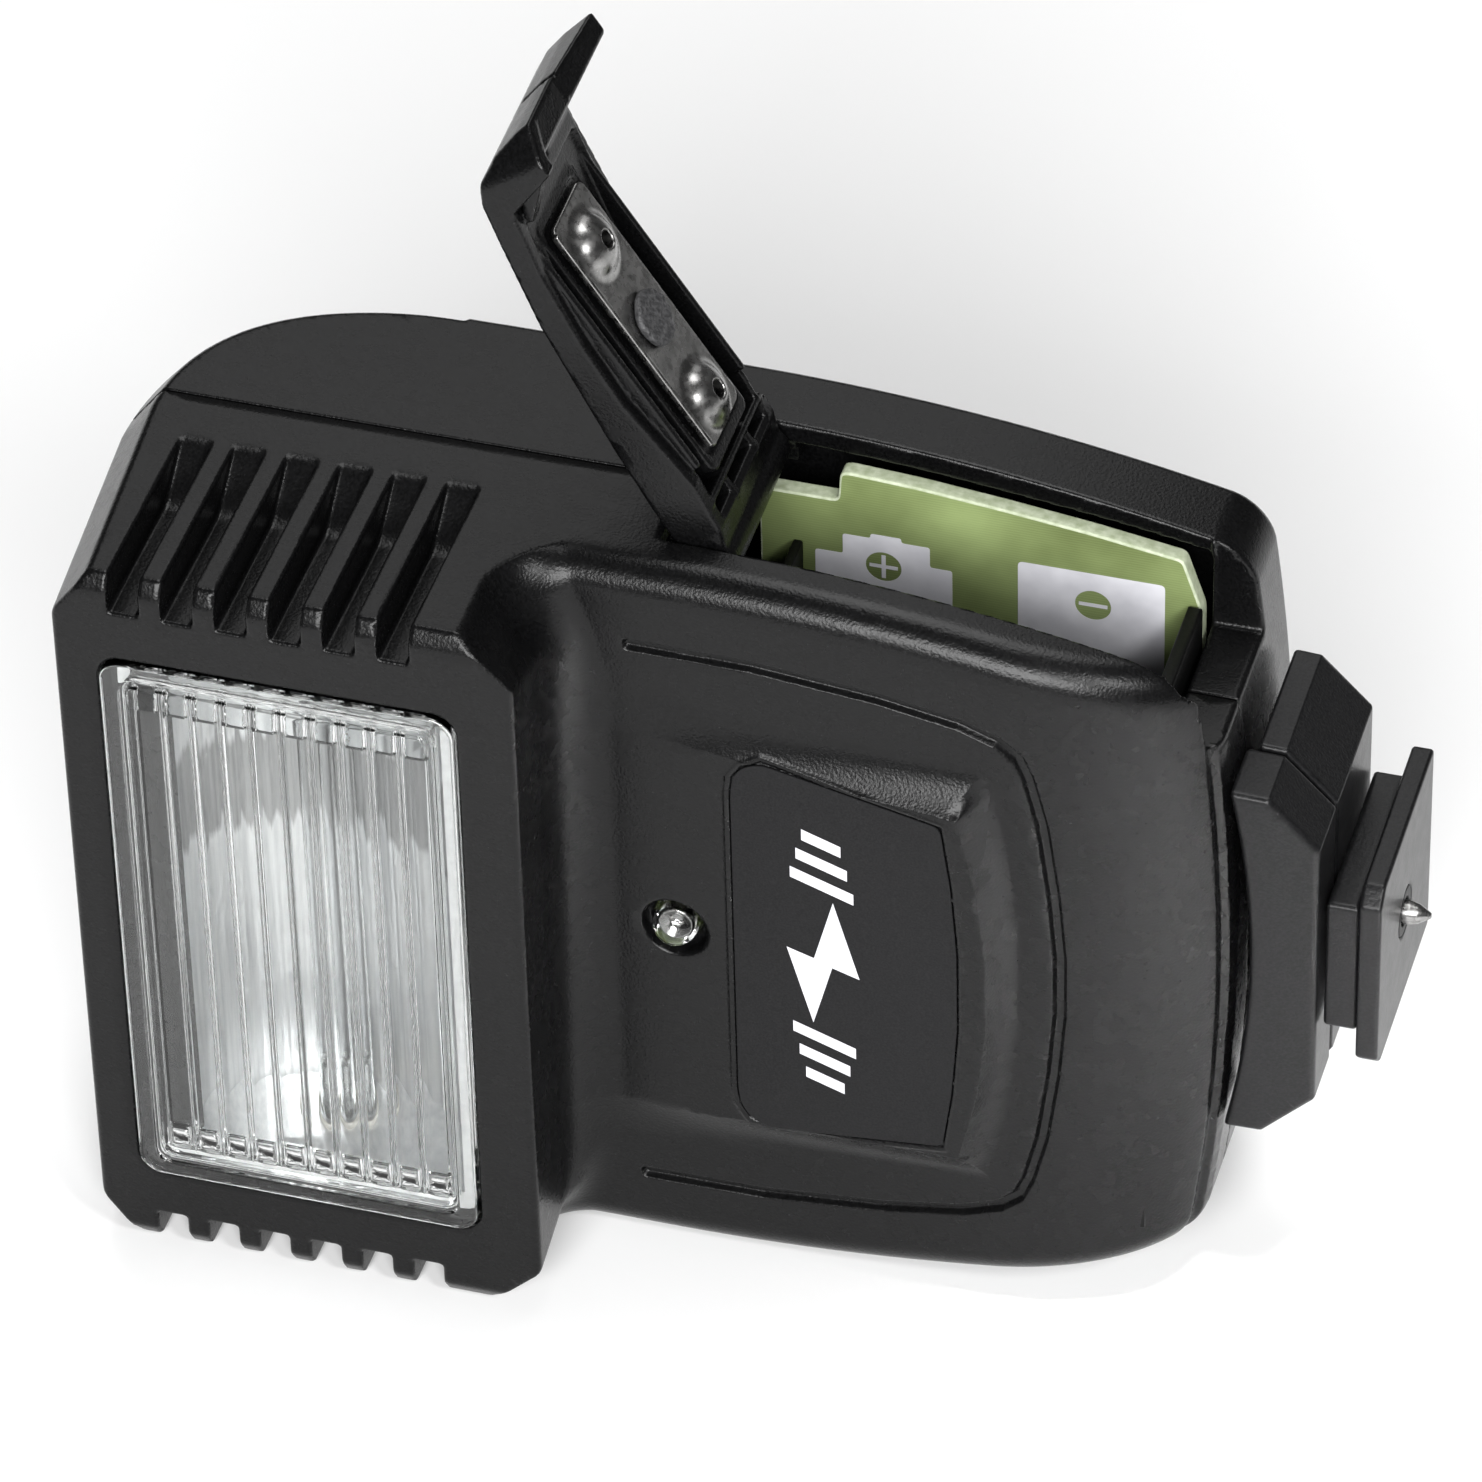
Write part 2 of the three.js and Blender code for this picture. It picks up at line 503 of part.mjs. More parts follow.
piece('foot_block_rear', cut(rearBlock, rod('x', [88, PIN.y, 0], 2.2, 12, SEG)), BLACK, 0.5);

const neckBack = [[18.9, -6.5], [35.3, -6.5], [35.3, 6.5], [18.9, 6.5]];
piece('foot_neck', cut(prismX(neckBack, FOOT.neck + 0.25, FOOT.plate - 0.25),
  rod('x', [FOOT.neck, PIN.y, 0], 2.2, 12, SEG)), BLACK, 0.5);
const plateOutline = [[19, -FOOT.half], [35.8, -FOOT.half], [35.8, FOOT.half], [19, FOOT.half], [17.6, 7.9],
  [17.6, -7.9]];
const plateBore = rod('x', [FOOT.end, PIN.y, 0], 2.2, 6, SEG);
piece('foot_plate', cut(prismX(plateOutline, FOOT.plate, FOOT.end), plateBore), BLACK, 0.45);
const collar = cut(rod('x', [95.4, PIN.y, 0], 1.95, 2.2, 20), rod('x', [95.4, PIN.y, 0], 1.25, 4, 20));
piece('contact_collar', collar, DARK, 0.5);
piece('contact_pin', turned('x', [0, PIN.y, 0], [[0, 89], [1.9, 89], [1.9, 90.6], [1, 90.8], [1, 96.9],
  [0.75, 97.7], [0.25, PIN.tip], [0, PIN.tip]], 20), STEEL, 0.2, 1);

function pinSpring() {
  const points = [];
  for (let i = 0; i <= 36; i++) {
    const angle = i / 36 * 3.5 * 2 * Math.PI;
    points.push(new THREE.Vector3(85.7 + 2.6 * i / 36, PIN.y + 1.5 * Math.cos(angle), 1.5 * Math.sin(angle)));
  }
  const ring = new THREE.Shape();
  ring.absarc(0, 0, 0.22, 0, 2 * Math.PI, false);
  return solid(new THREE.ExtrudeGeometry(ring, { steps: 56, bevelEnabled: false, curveSegments: 3,
    extrudePath: new THREE.CatmullRomCurve3(points) }));
}
piece('contact_spring', pinSpring(), STEEL, 0.3, 1);

// ---- controls on the back
const knob = join(box(SWITCH.x - 1.4, SWITCH.x + 1.4, 35, 38.8, -3.7, 0.1),
  box(SWITCH.x - 3, SWITCH.x + 3, 34.6, 35.6, -4.6, 1));
const knobGrips = [-3, -2, -1].map((z) => box(SWITCH.x - 2, SWITCH.x + 2, 38.4, 39, z, z + 0.4));
piece('power_switch', cut(knob, ...knobGrips), DARK, 0.6);
piece('test_button', turned('y', [BUTTON.x, 0, 0], [[0, 34.6], [3.9, 34.6], [3.9, 35.4], [3.2, 35.4],
  [3.2, 38.2], [2.9, 38.6], [0, 38.6]], SEG), DARK, 0.5);
piece('ready_lamp', turned('y', [LAMP.x, 0, 0], [[0, 34.8], [1.6, 34.8], [1.6, 38], [1.1, 38.4],
  [0, 38.5]], 16),
  0xb5432a, 0.2);
SCREWS.forEach(([x, z], i) => {
  const profile = [[0, 20.6], [0.85, 20.6], [0.85, 32], [1.8, 32], [1.8, 33], [1.3, 33.5], [0, 33.5]];
  piece(`housing_screw_${i + 1}`, turned('y', [x, 0, z], profile, 12), STEEL, 0.35, 1);
});

export default root;
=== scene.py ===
"""Looks of the shoe-mount flash gun: moulded shells meshed from distance fields, fine parts in mesh code."""
import json
import math

import bmesh
import bpy
import numpy as np
import openvdb
from mathutils import Matrix, Vector

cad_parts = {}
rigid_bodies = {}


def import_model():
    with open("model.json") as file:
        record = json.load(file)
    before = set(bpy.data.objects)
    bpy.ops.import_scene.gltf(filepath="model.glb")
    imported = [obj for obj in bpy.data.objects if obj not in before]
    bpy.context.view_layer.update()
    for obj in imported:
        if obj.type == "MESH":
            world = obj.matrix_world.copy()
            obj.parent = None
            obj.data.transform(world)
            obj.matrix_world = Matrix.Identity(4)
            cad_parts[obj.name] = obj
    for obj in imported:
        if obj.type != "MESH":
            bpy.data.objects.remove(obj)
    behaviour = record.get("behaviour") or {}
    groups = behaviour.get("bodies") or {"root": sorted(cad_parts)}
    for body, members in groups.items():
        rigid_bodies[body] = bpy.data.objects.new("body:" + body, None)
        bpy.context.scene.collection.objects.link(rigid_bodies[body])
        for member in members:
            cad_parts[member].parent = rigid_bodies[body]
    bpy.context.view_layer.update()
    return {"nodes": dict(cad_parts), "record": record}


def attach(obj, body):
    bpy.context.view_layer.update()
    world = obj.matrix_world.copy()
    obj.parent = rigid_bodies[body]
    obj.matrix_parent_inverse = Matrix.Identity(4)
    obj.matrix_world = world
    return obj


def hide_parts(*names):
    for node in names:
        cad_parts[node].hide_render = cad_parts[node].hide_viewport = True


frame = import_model()
NODES = frame["nodes"]

# ---- driving sizes, in mm, in the layout frame
# x=0 at the first vent, y=0 at the head's face, z=0 on the mid-plane
ORIGIN = np.array([46.2, 19.2, -35.3])
STEP = 0.25
HALF, HEAD_HALF, BACK, SEAM, GAP = 35.3, 35.3, 38.0, 23.0, 0.08
HEAD_LEFT, HEAD_RIGHT = -4.7, 32.5
COVER_Y = 10.8
WALL = 1.9
VENT_PITCH, VENT_WIDTH, VENT_DEPTH, VENT_END = 4.34, 2.48, 3.5, 18.6
WIN_X0, WIN_X1, WIN_HALF, WIN_PROUD, WIN_CORNER, WIN_ROOM = -1.05, 27.55, 27.2, 0.4, 2.0, 0.12
TUBE_X, TUBE_Y = 13.25, 11.0
CELLS_X, CELL_Y = (54.2, 69.6), 22.7
STAKE_X, STAKE_Y = 61.9, 23
HINGE_X, HINGE_Z, OPEN_DEG = 43.84, 33.3, 123.4
DOOR_Y0, DOOR_Y1 = 15.8, 31.0
HOLE_X0, HOLE_Y0, HOLE_Y1, LEDGE = 39.7, 15.5, 31.3, 22.3
LED_X = 41.45
PAD_SLOPE, PAD_X, PAD_Y = 0.0675, 37.0, 10.35
BLOCK_X, NECK_X, PLATE_X, FOOT_END, FOOT_HALF = 85.2, 91.6, 94.7, 96.5, 9.3
PIN_Y, PIN_TIP = 26.6, 98.6
SWITCH_X, BUTTON_X, LAMP_X = 62.0, 38.0, 48.0
SCREWS = [(1.4, 26.4), (1.4, -26.4), (81.8, 15.0), (81.8, -15.0)]


def metres(points):
    """Layout millimetres to row-frame metres."""
    return (np.asarray(points, dtype=float) - ORIGIN) / 1000


def link(name, data):
    """New object in the scene."""
    obj = bpy.data.objects.new(name, data)
    bpy.context.scene.collection.objects.link(obj)
    return obj


# ---- distance-field modelling
def both(a, b, r=0.0):
    """Intersection with a rounded edge of radius r."""
    if r <= 0:
        return np.maximum(a, b)
    return np.minimum(-r, np.maximum(a, b)) + np.hypot(np.maximum(a + r, 0), np.maximum(b + r, 0))


def either(a, b, r=0.0):
    """Union with a concave fillet of radius r."""
    if np.max(r) <= 0:
        return np.minimum(a, b)
    return np.maximum(r, np.minimum(a, b)) - np.hypot(np.maximum(r - a, 0), np.maximum(r - b, 0))


def minus(a, b, r=0.0):
    return both(a, -b, r)


def slab(v, lo, hi):
    return np.maximum(lo - v, v - hi)


def smooth(v, lo, hi):
    t = np.clip((v - lo) / (hi - lo), 0, 1)
    return t * t * (3 - 2 * t)


def polyline(u, v, points):
    """Distance in the plane to an open line."""
    best = np.full(np.broadcast(u, v).shape, 1e9, np.float32)
    for (u0, v0), (u1, v1) in zip(points, points[1:]):
        du, dv = u1 - u0, v1 - v0
        t = np.clip(((u - u0) * du + (v - v0) * dv) / (du * du + dv * dv), 0, 1)
        best = np.minimum(best, (u - u0 - t * du) ** 2 + (v - v0 - t * dv) ** 2)
    return np.sqrt(best)


def polygon(u, v, points):
    """Signed distance in the plane to a closed outline."""
    ring = points + points[:1]
    inside = np.zeros(np.broadcast(u, v).shape, bool)
    for (u0, v0), (u1, v1) in zip(ring, ring[1:]):
        if v1 != v0:
            inside ^= ((v0 <= v) != (v1 <= v)) & (u < u0 + (v - v0) / (v1 - v0) * (u1 - u0))
    return np.where(inside, -1, 1) * polyline(u, v, ring)


def rounded_rect(u, v, u0, u1, v0, v1, r):
    du = np.abs(u - (u0 + u1) / 2) - (u1 - u0) / 2 + r
    dv = np.abs(v - (v0 + v1) / 2) - (v1 - v0) / 2 + r
    return np.hypot(np.maximum(du, 0), np.maximum(dv, 0)) + np.minimum(np.maximum(du, dv), 0) - r


class Field:
    """Samples of a solid's signed distance on a regular grid."""

    def __init__(self, lo, hi, step=STEP):
        self.lo, self.step = np.array(lo, float), step
        axes = [np.arange(a, b + step, step, dtype=np.float32) for a, b in zip(lo, hi)]
        self.x = axes[0][:, None, None]
        self.y = axes[1][None, :, None]
        self.z = axes[2][None, None, :]
        self.d = None

    def window(self, x=None, y=None, z=None):
        """Part of the grid, for features that are small: (slices, x, y, z)."""
        cut = []
        for axis, span in ((self.x, x), (self.y, y), (self.z, z)):
            flat = axis.ravel()
            lo, hi = span if span else (flat[0], flat[-1])
            cut.append(slice(*np.searchsorted(flat, [lo, hi])))
        return tuple(cut), self.x[cut[0]], self.y[:, cut[1]], self.z[:, :, cut[2]]

    def carve(self, shape, r=0.3, **span):
        """Cuts shape(x, y, z) away inside a window of the grid."""
        cut, x, y, z = self.window(**span)
        self.d[cut] = minus(self.d[cut], shape(x, y, z), r)

    def keep(self, shape, r=0.0):
        """Keeps only what lies inside shape(x, y, z)."""
        self.d = both(self.d, shape(self.x, self.y, self.z), r)

    def add(self, shape, r=0.3, **span):
        cut, x, y, z = self.window(**span)
        self.d[cut] = either(self.d[cut], shape(x, y, z), r)

    def sample(self, points):
        """Trilinear value of the field at points."""
        p = (points - self.lo) / self.step
        i = np.clip(np.floor(p).astype(int), 0, np.array(self.d.shape) - 2)
        f = p - i
        total = 0
        for dx in (0, 1):
            for dy in (0, 1):
                for dz in (0, 1):
                    w = (f[:, 0] if dx else 1 - f[:, 0]) * (f[:, 1] if dy else 1 - f[:, 1])
                    w = w * (f[:, 2] if dz else 1 - f[:, 2])
                    total = total + w * self.d[i[:, 0] + dx, i[:, 1] + dy, i[:, 2] + dz]
        return total

    def mesh(self, name, adaptivity=0.004, turn=None, fine=None, exact=None):
        """The zero surface as a mesh object with normals taken from the field.

        Edges inside fine(points) are halved, and exact(points, normals) moves points onto a known surface.
        """
        d = np.array(np.broadcast_to(self.d, (self.x.size, self.y.size, self.z.size)), np.float32)
        self.d = np.clip(d, -4 * self.step, 4 * self.step)
        grid = openvdb.FloatGrid(4 * self.step)
        grid.copyFromArray(self.d)
        points, tris, quads = grid.convertToPolygons(isovalue=0.0, adaptivity=adaptivity)
        points = points * self.step + self.lo
        mesh = bpy.data.meshes.new(name)
        mesh.from_pydata(points.tolist(), [], [tuple(map(int, f)) for faces in (quads, tris) for f in faces])
        mesh.validate()
        if fine is not None:
            halve_edges(mesh, fine)
        points = np.empty(3 * len(mesh.vertices))
        mesh.vertices.foreach_get("co", points)
        points = points.reshape(-1, 3)
        normals = np.empty_like(points)
        for k in range(3):
            e = np.zeros(3)
            e[k] = self.step * 0.5
            normals[:, k] = self.sample(points + e) - self.sample(points - e)
        normals /= np.maximum(np.linalg.norm(normals, axis=1, keepdims=True), 1e-9)
        level = np.abs(normals) > 0.9999
        normals[level.any(axis=1)] = (level * np.sign(normals))[level.any(axis=1)]
        if exact is not None:
            points, normals = exact(points, normals)
        if turn is not None:
            points, normals = turn(points), turn(normals, True)
        mesh.vertices.foreach_set("co", metres(points).ravel())
        mesh.update()
        outward = normals[mesh.polygons[0].vertices[0]] @ np.array(mesh.polygons[0].normal)
        if outward < 0:
            mesh.flip_normals()
        mesh.polygons.foreach_set("use_smooth", [True] * len(mesh.polygons))
        mesh.normals_split_custom_set_from_vertices(normals.tolist())
        return link(name, mesh)


def halve_edges(mesh, fine):
    """Halves the edges whose ends both lie in the region fine(points)."""
    bm = bmesh.new()
    bm.from_mesh(mesh)
    near = fine(np.array([v.co for v in bm.verts]))
    edges = [e for e in bm.edges if near[e.verts[0].index] and near[e.verts[1].index]]
    bmesh.ops.subdivide_edges(bm, edges=edges, cuts=1, use_grid_fill=True)
    bm.to_mesh(mesh)
    bm.free()


def door_turn(points, direction=False):
    """Turns closed-door coordinates about the hinge to the open, rest position."""
    a = math.radians(OPEN_DEG)
    pivot = np.array([0, 0, 0]) if direction else np.array([HINGE_X, 0, HINGE_Z])
    x, y, z = (np.asarray(points) - pivot).T
    return np.stack([x * math.cos(a) - z * math.sin(a), y, x * math.sin(a) + z * math.cos(a)], 1) + pivot


# ---- outer form of the housing
def barrel(x):
    """Half the body's width, narrowing towards the foot."""
    return HALF - np.maximum(x - 40, 0) ** 2 / 342


def end_x(z):
    """x of the body's bowed end."""
    return 84.9 - z ** 2 / 400


def mirrored(points):
    """Both halves of an outline given for z >= 0, as one ring."""
    return points + [(x, -z) for x, z in reversed(points)]


PAD_CROWN = mirrored([(20, 19.8), (43, 19.6), (50, 18.9), (57, 18.4), (64.9, 17.9), (66.4, 11), (67.2, 4)])
PAD_SKIRT = mirrored([(10, 23.6), (38, 24), (48, 22.4), (58, 22), (66.9, 21.6), (68.4, 14), (69.3, 5)])
LABEL = mirrored([(46.5, 15.6), (46.7, 17.3), (47.5, 18.6), (49, 19.3), (51.5, 18.9), (57, 18.0),
                  (63.6, 16.9), (64.4, 11), (64.9, 4)])


def groove_line():
    return mirrored([(38.3, 28.1), (48, 28.0), (58, 27.0), (64.5, 25.8), (67.6, 24.6), (69.2, 23.2),
                     (70.0, 21.2), (71.1, 16.5), (72.0, 9.5), (72.5, 3)])


def pad_y(x):
    """y of the label pad's flat, slightly sloping face."""
    return PAD_Y - PAD_SLOPE * (x - PAD_X)


def end_roll(x, z):
    """y of the cover's front surface without the pad: flat, then rolled over towards the end."""
    t = np.clip((x + z ** 2 / 400 - 69.5) / 15.4, 0, 0.9995)
    return COVER_Y + 8.2 * (1 - np.sqrt(1 - t * t))


def cover_height(x, z):
    """y of the cover's front surface over (x, z): end roll, label pad, groove and the label's seat."""
    base = end_roll(x, z)
    pad = pad_y(x)
    from_crown = np.maximum(polygon(x, z, PAD_CROWN), 0)
    from_skirt = np.maximum(-polygon(x, z, PAD_SKIRT), 0)
    t = from_crown / np.maximum(from_crown + from_skirt, 1e-6)
    height = np.where(t < 1, pad + (base - pad) * (1 - (1 - t) ** 1.6), base)
    groove = polyline(x, z, groove_line())
    height = height + 0.52 * (1 - smooth(groove, 0.22, 0.66))
    from_label = polygon(x, z, LABEL)
    seat = 0.16 * (1 - smooth(from_label, 0.02, 0.18))
    rim = 0.09 * np.exp(-((from_label - 0.42) / 0.17) ** 2)
    return height + seat - rim


def cover_detail(points):
    """Where the cover needs a finer mesh: along the groove, the label's edge and the pad's edge."""
    x, y, z = points.T
    near = polyline(x, z, groove_line()) < 0.8
    near |= np.abs(polygon(x, z, LABEL) - 0.25) < 0.6
    near |= (polygon(x, z, PAD_CROWN) > -0.5) & (polygon(x, z, PAD_SKIRT) < 0.3)
    return near & (x > 36) & (y < 12.4)


def onto_cover(points, normals):
    """Puts the cover's front points exactly on its surface, fading out near edges and holes."""
    x, y, z = points.T
    height = cover_height(x, z)
    e = 0.04
    slope_x = (cover_height(x + e, z) - cover_height(x - e, z)) / (2 * e)
    slope_z = (cover_height(x, z + e) - cover_height(x, z - e)) / (2 * e)
    true = np.stack([slope_x, -np.ones_like(slope_x), slope_z], 1)
    true /= np.linalg.norm(true, axis=1, keepdims=True)
    room = np.minimum(np.minimum(barrel(x) - 3.2 - np.abs(z), end_x(z) - 3.6 - x),
                      np.minimum(x - 37.4, np.hypot(x - LED_X, z) - 3.5))
    weight = np.clip(room / 0.8, 0, 1) * (normals[:, 1] < -0.3) * (np.abs(y - height) < 0.7)
    moved = points.copy()
    moved[:, 1] += weight * (height - y)
    mixed = normals + weight[:, None] * (true - normals)
    return moved, mixed / np.linalg.norm(mixed, axis=1, keepdims=True)


def housing(f):
    """Signed distance to the outer form, both shells together."""
    x, y, z = f.x, f.y, f.z
    side = np.abs(z) - barrel(x)
    head_side = np.abs(z) - HEAD_HALF
    # head: slanted outer end that rounds into the back along a quarter ellipse
    slope = 1.5 / 21
    slant = -(x - HEAD_LEFT + slope * y) / math.hypot(1, slope)
    mid_x, mid_y, long, deep = 17.5, 21, 23.7, 17
    u, v = (x - mid_x) / long, (y - mid_y) / deep
    k0, k1 = np.hypot(u, v), np.hypot(u / long, v / deep)
    round_back = k0 * (k0 - 1) / np.maximum(k1, 1e-6)
    left = np.where((y > mid_y) & (x < mid_x), round_back, slant)
    # chamfers, each from the two parts of its unit normal
    fade = 3.1 * (1 - 0.75 * smooth(y, mid_y, 36))
    corner = 0.8074 * (left + fade) + 0.5903 * head_side
    edge = 0.527 * head_side + 0.849 * (0.9 - y)
    lean = (-4.24 - 0.266 * y) / 4.4
    inner = (head_side - lean * (x - 28.1)) / np.sqrt(1 + lean * lean)
    head = both(both(left, -y, 0.5), x - HEAD_RIGHT, 0.5)
    head = both(both(head, head_side, 0.2), corner, 0.35)
    head = both(both(head, edge, 0.2), inner, 0.35)
    head = both(head, y - BACK, 1.0)
    # body: rolled front edge, rounded shoulders
    flat = cover_height(x, z)
    gx = np.gradient(flat[:, 0, :], f.step, axis=0)[:, None, :]
    gz = np.gradient(flat[:, 0, :], f.step, axis=1)[:, None, :]
    front = (flat - y) / np.sqrt(1 + gx ** 2 + gz ** 2)
    end = x - end_x(z) + 1.0 - smooth(y, 16.9, 17.5)
    body = np.maximum(both(side, front, 3.0), both(side, end, 3.2))
    body = both(np.maximum(body, 20 - x), y - BACK, 1.0)
    blend = 4.6 * (1 - smooth(y, 15, 19)) + 0.01
    whole = either(head, body, blend)
    return np.maximum(whole, np.maximum(side, y - BACK))


def cavity(x, y, z):
    """Room inside the head and the body."""
    head = np.maximum(slab(x, -2.6, 30.4), np.maximum(slab(y, 2.1, 36), np.abs(z) - 29.9))
    head = np.maximum(head, -(x + y - 29) - 22.0)
    front = np.maximum(12.9, end_roll(x, z) + 2.1)
    body = np.maximum(slab(x, 26, 79.4), np.maximum(front - y, y - 36))
    body = np.maximum(body, np.abs(z) - barrel(x) + WALL)
    return np.minimum(head, body)


def hollow_out(f):
    """Cuts the inside away and leaves a wall under every outer face."""
    f.d = minus(f.d, np.maximum(cavity(f.x, f.y, f.z), f.d + 1.5), 0.01)


def lip_sweep(x):
    """How far the door's front edge sweeps back where its lip goes down over the end."""
    return 2.0 * smooth(x, 80.5, 84)


def door_hole(x, y, z):
    top = np.maximum(slab(x, HOLE_X0, 79.6), 24 - z)
    end = np.maximum(79.4 - x, LEDGE - z)
    return both(np.minimum(top, end), slab(y, HOLE_Y0 + lip_sweep(x), HOLE_Y1), 0.5)


def screw_well(sx, sz):
    def shape(x, y, z):
        r = np.hypot(x - sx, z - sz)
        return np.minimum(np.maximum(r - 2.05, 31.7 - y), r - 1.15)
    return shape


def screw_post(sz):
    return lambda x, y, z: np.maximum(np.maximum(slab(x, -1.2, 4), slab(z, sz - 3.6, sz + 3.6)), y - 34)


def grip_line(xk):
    return lambda x, y, z: both(slab(x, xk, xk + 0.9), 37.3 - y, 0.3) + np.maximum(np.abs(z) - 20, 0)


def hinge_ear(y0, y1):
    def shape(x, y, z):
        return both(np.maximum(slab(x, 41.7, 46), slab(z, 30.9, 34.4)), slab(y, y0, y1), 0.4)
    return shape


def hinge_bore(x, y, z):
    return np.hypot(x - HINGE_X, z - HINGE_Z) - 1.0 + 0 * y


def ring_hole(cx, cz, r):
    return lambda x, y, z: np.hypot(x - cx, z - cz) - r + 0 * y


def vent(i, side):
    def shape(x, y, z):
        floor = HALF - VENT_DEPTH + 0.2 + 3.9 * smooth(y, 12.4, VENT_END + 1.0)
        middle = i * VENT_PITCH + VENT_WIDTH / 2 + 0.29 * y / VENT_END
        return both(np.abs(x - middle) - VENT_WIDTH / 2, floor - side * z, 0.25)
    return shape


def window_hole(x, y, z):
    half = WIN_HALF + WIN_ROOM
    return rounded_rect(x, z, WIN_X0 - WIN_ROOM, WIN_X1 + WIN_ROOM, -half, half, WIN_CORNER) + 0 * y


def front_shell():
    f = Field((-7.5, -1.2, -36.5), (86.5, SEAM + 0.6, 36.5))
    f.d = housing(f)
    hollow_out(f)
    for side, band in ((1, (29, 37)), (-1, (-37, -29))):
        for i in range(6):
            x0 = i * VENT_PITCH
            f.carve(vent(i, side), 0.3, x=(x0 - 1.5, x0 + VENT_WIDTH + 1.6), z=band)
    f.carve(window_hole, 0.25, y=(-2, 3.4))
    f.carve(lambda x, y, z: np.minimum(both(np.hypot(x - LED_X, z) - 2.75 + 0.2 * (y - 10), y - 11.4, 0.4),
                                       np.hypot(x - LED_X, z) - 2.05), 0.3, x=(36, 47), z=(-5, 5), y=(6, 14))
    f.carve(door_hole, 0.3, x=(36, 88), z=(18, 38))
    f.add(hinge_ear(12.6, HOLE_Y0 - 0.2), 0.3, x=(40, 48), y=(11.5, 16.5), z=(29, 35.1))
    f.carve(hinge_bore, 0.05, x=(42, 46), y=(11.9, 16.5), z=(31, 35.1))
    f.keep(lambda x, y, z: y - (SEAM - GAP) + 0 * x + 0 * z, 0.08)
    return f.mesh("front_shell_moulding", fine=cover_detail, exact=onto_cover)


def rear_shell():
    f = Field((-7.5, SEAM - 0.6, -36.5), (86.5, BACK + 1.2, 36.5))
    form = housing(f)
    f.d = form
    hollow_out(f)
    f.carve(door_hole, 0.3, x=(36, 88), z=(18, 38))
    f.add(hinge_ear(HOLE_Y1 + 0.2, 36.8), 0.3, x=(40, 48), y=(30, 37.5), z=(29, 35.1))
    for sx, sz in SCREWS[:2]:
        f.add(screw_post(sz), 0.3, x=(-5, 7), z=(sz - 5, sz + 5))
    f.d = np.maximum(f.d, form)
    for sx, sz in SCREWS:
        f.carve(screw_well(sx, sz), 0.3, x=(sx - 3, sx + 3), z=(sz - 3, sz + 3))
    f.carve(hinge_bore, 0.05, x=(42, 46), y=(30, 34.9), z=(31, 35.1))
    f.carve(lambda x, y, z: np.maximum(slab(x, 42.9, 79.3),
                                       np.maximum(y - 32.1, slab(z, 20, 32.5 - (x - 49) ** 2 / 300))),
            0.1, x=(42, 80), z=(20, 36))
    f.carve(lambda x, y, z: rounded_rect(x, z, SWITCH_X - 1.7, SWITCH_X + 1.7, -4, 4, 0.5) + 0 * y, 0.3,
            x=(58, 66), z=(-7, 7), y=(34, 40))
    f.carve(lambda x, y, z: rounded_rect(x, z, SWITCH_X - 3.4, SWITCH_X + 3.4, -5.6, 5.6, 1.0) + 0 * y, 0.3,
            x=(57, 67), z=(-7, 7), y=(37.5, 40))
    f.carve(ring_hole(BUTTON_X, 0, 3.45), 0.35, x=(33, 43), z=(-5, 5), y=(34, 40))
    f.carve(ring_hole(LAMP_X, 0, 1.85), 0.3, x=(44, 52), z=(-4, 4), y=(34, 40))
    for k in range(6):
        xk = 16.5 + 2.6 * k
        f.carve(grip_line(xk), 0.25, x=(xk - 1, xk + 2), y=(36.8, 40))
    f.keep(lambda x, y, z: (SEAM + GAP) - y + 0 * x + 0 * z, 0.08)
    return f.mesh("rear_shell_moulding")


# ---- battery door, in closed coordinates
SKIN = [(45.6, 35.15), (50, 35), (56, 34.5), (62, 33.8), (68.3, 33.05), (75.9, 31.45), (79.6, 30.6),
        (81.2, 29.7), (82.4, 27.8), (83.2, 25.6), (84.2, 21.7)]
LIP = [(82.6, 21.7), (77.9, 28.7)]
RIM = [(72.2, 30), (65.6, 30.8), (59.5, 31.1), (54.6, 30.6), (50.8, 30.3), (46.4, 30.9), (44.6, 31.6)]


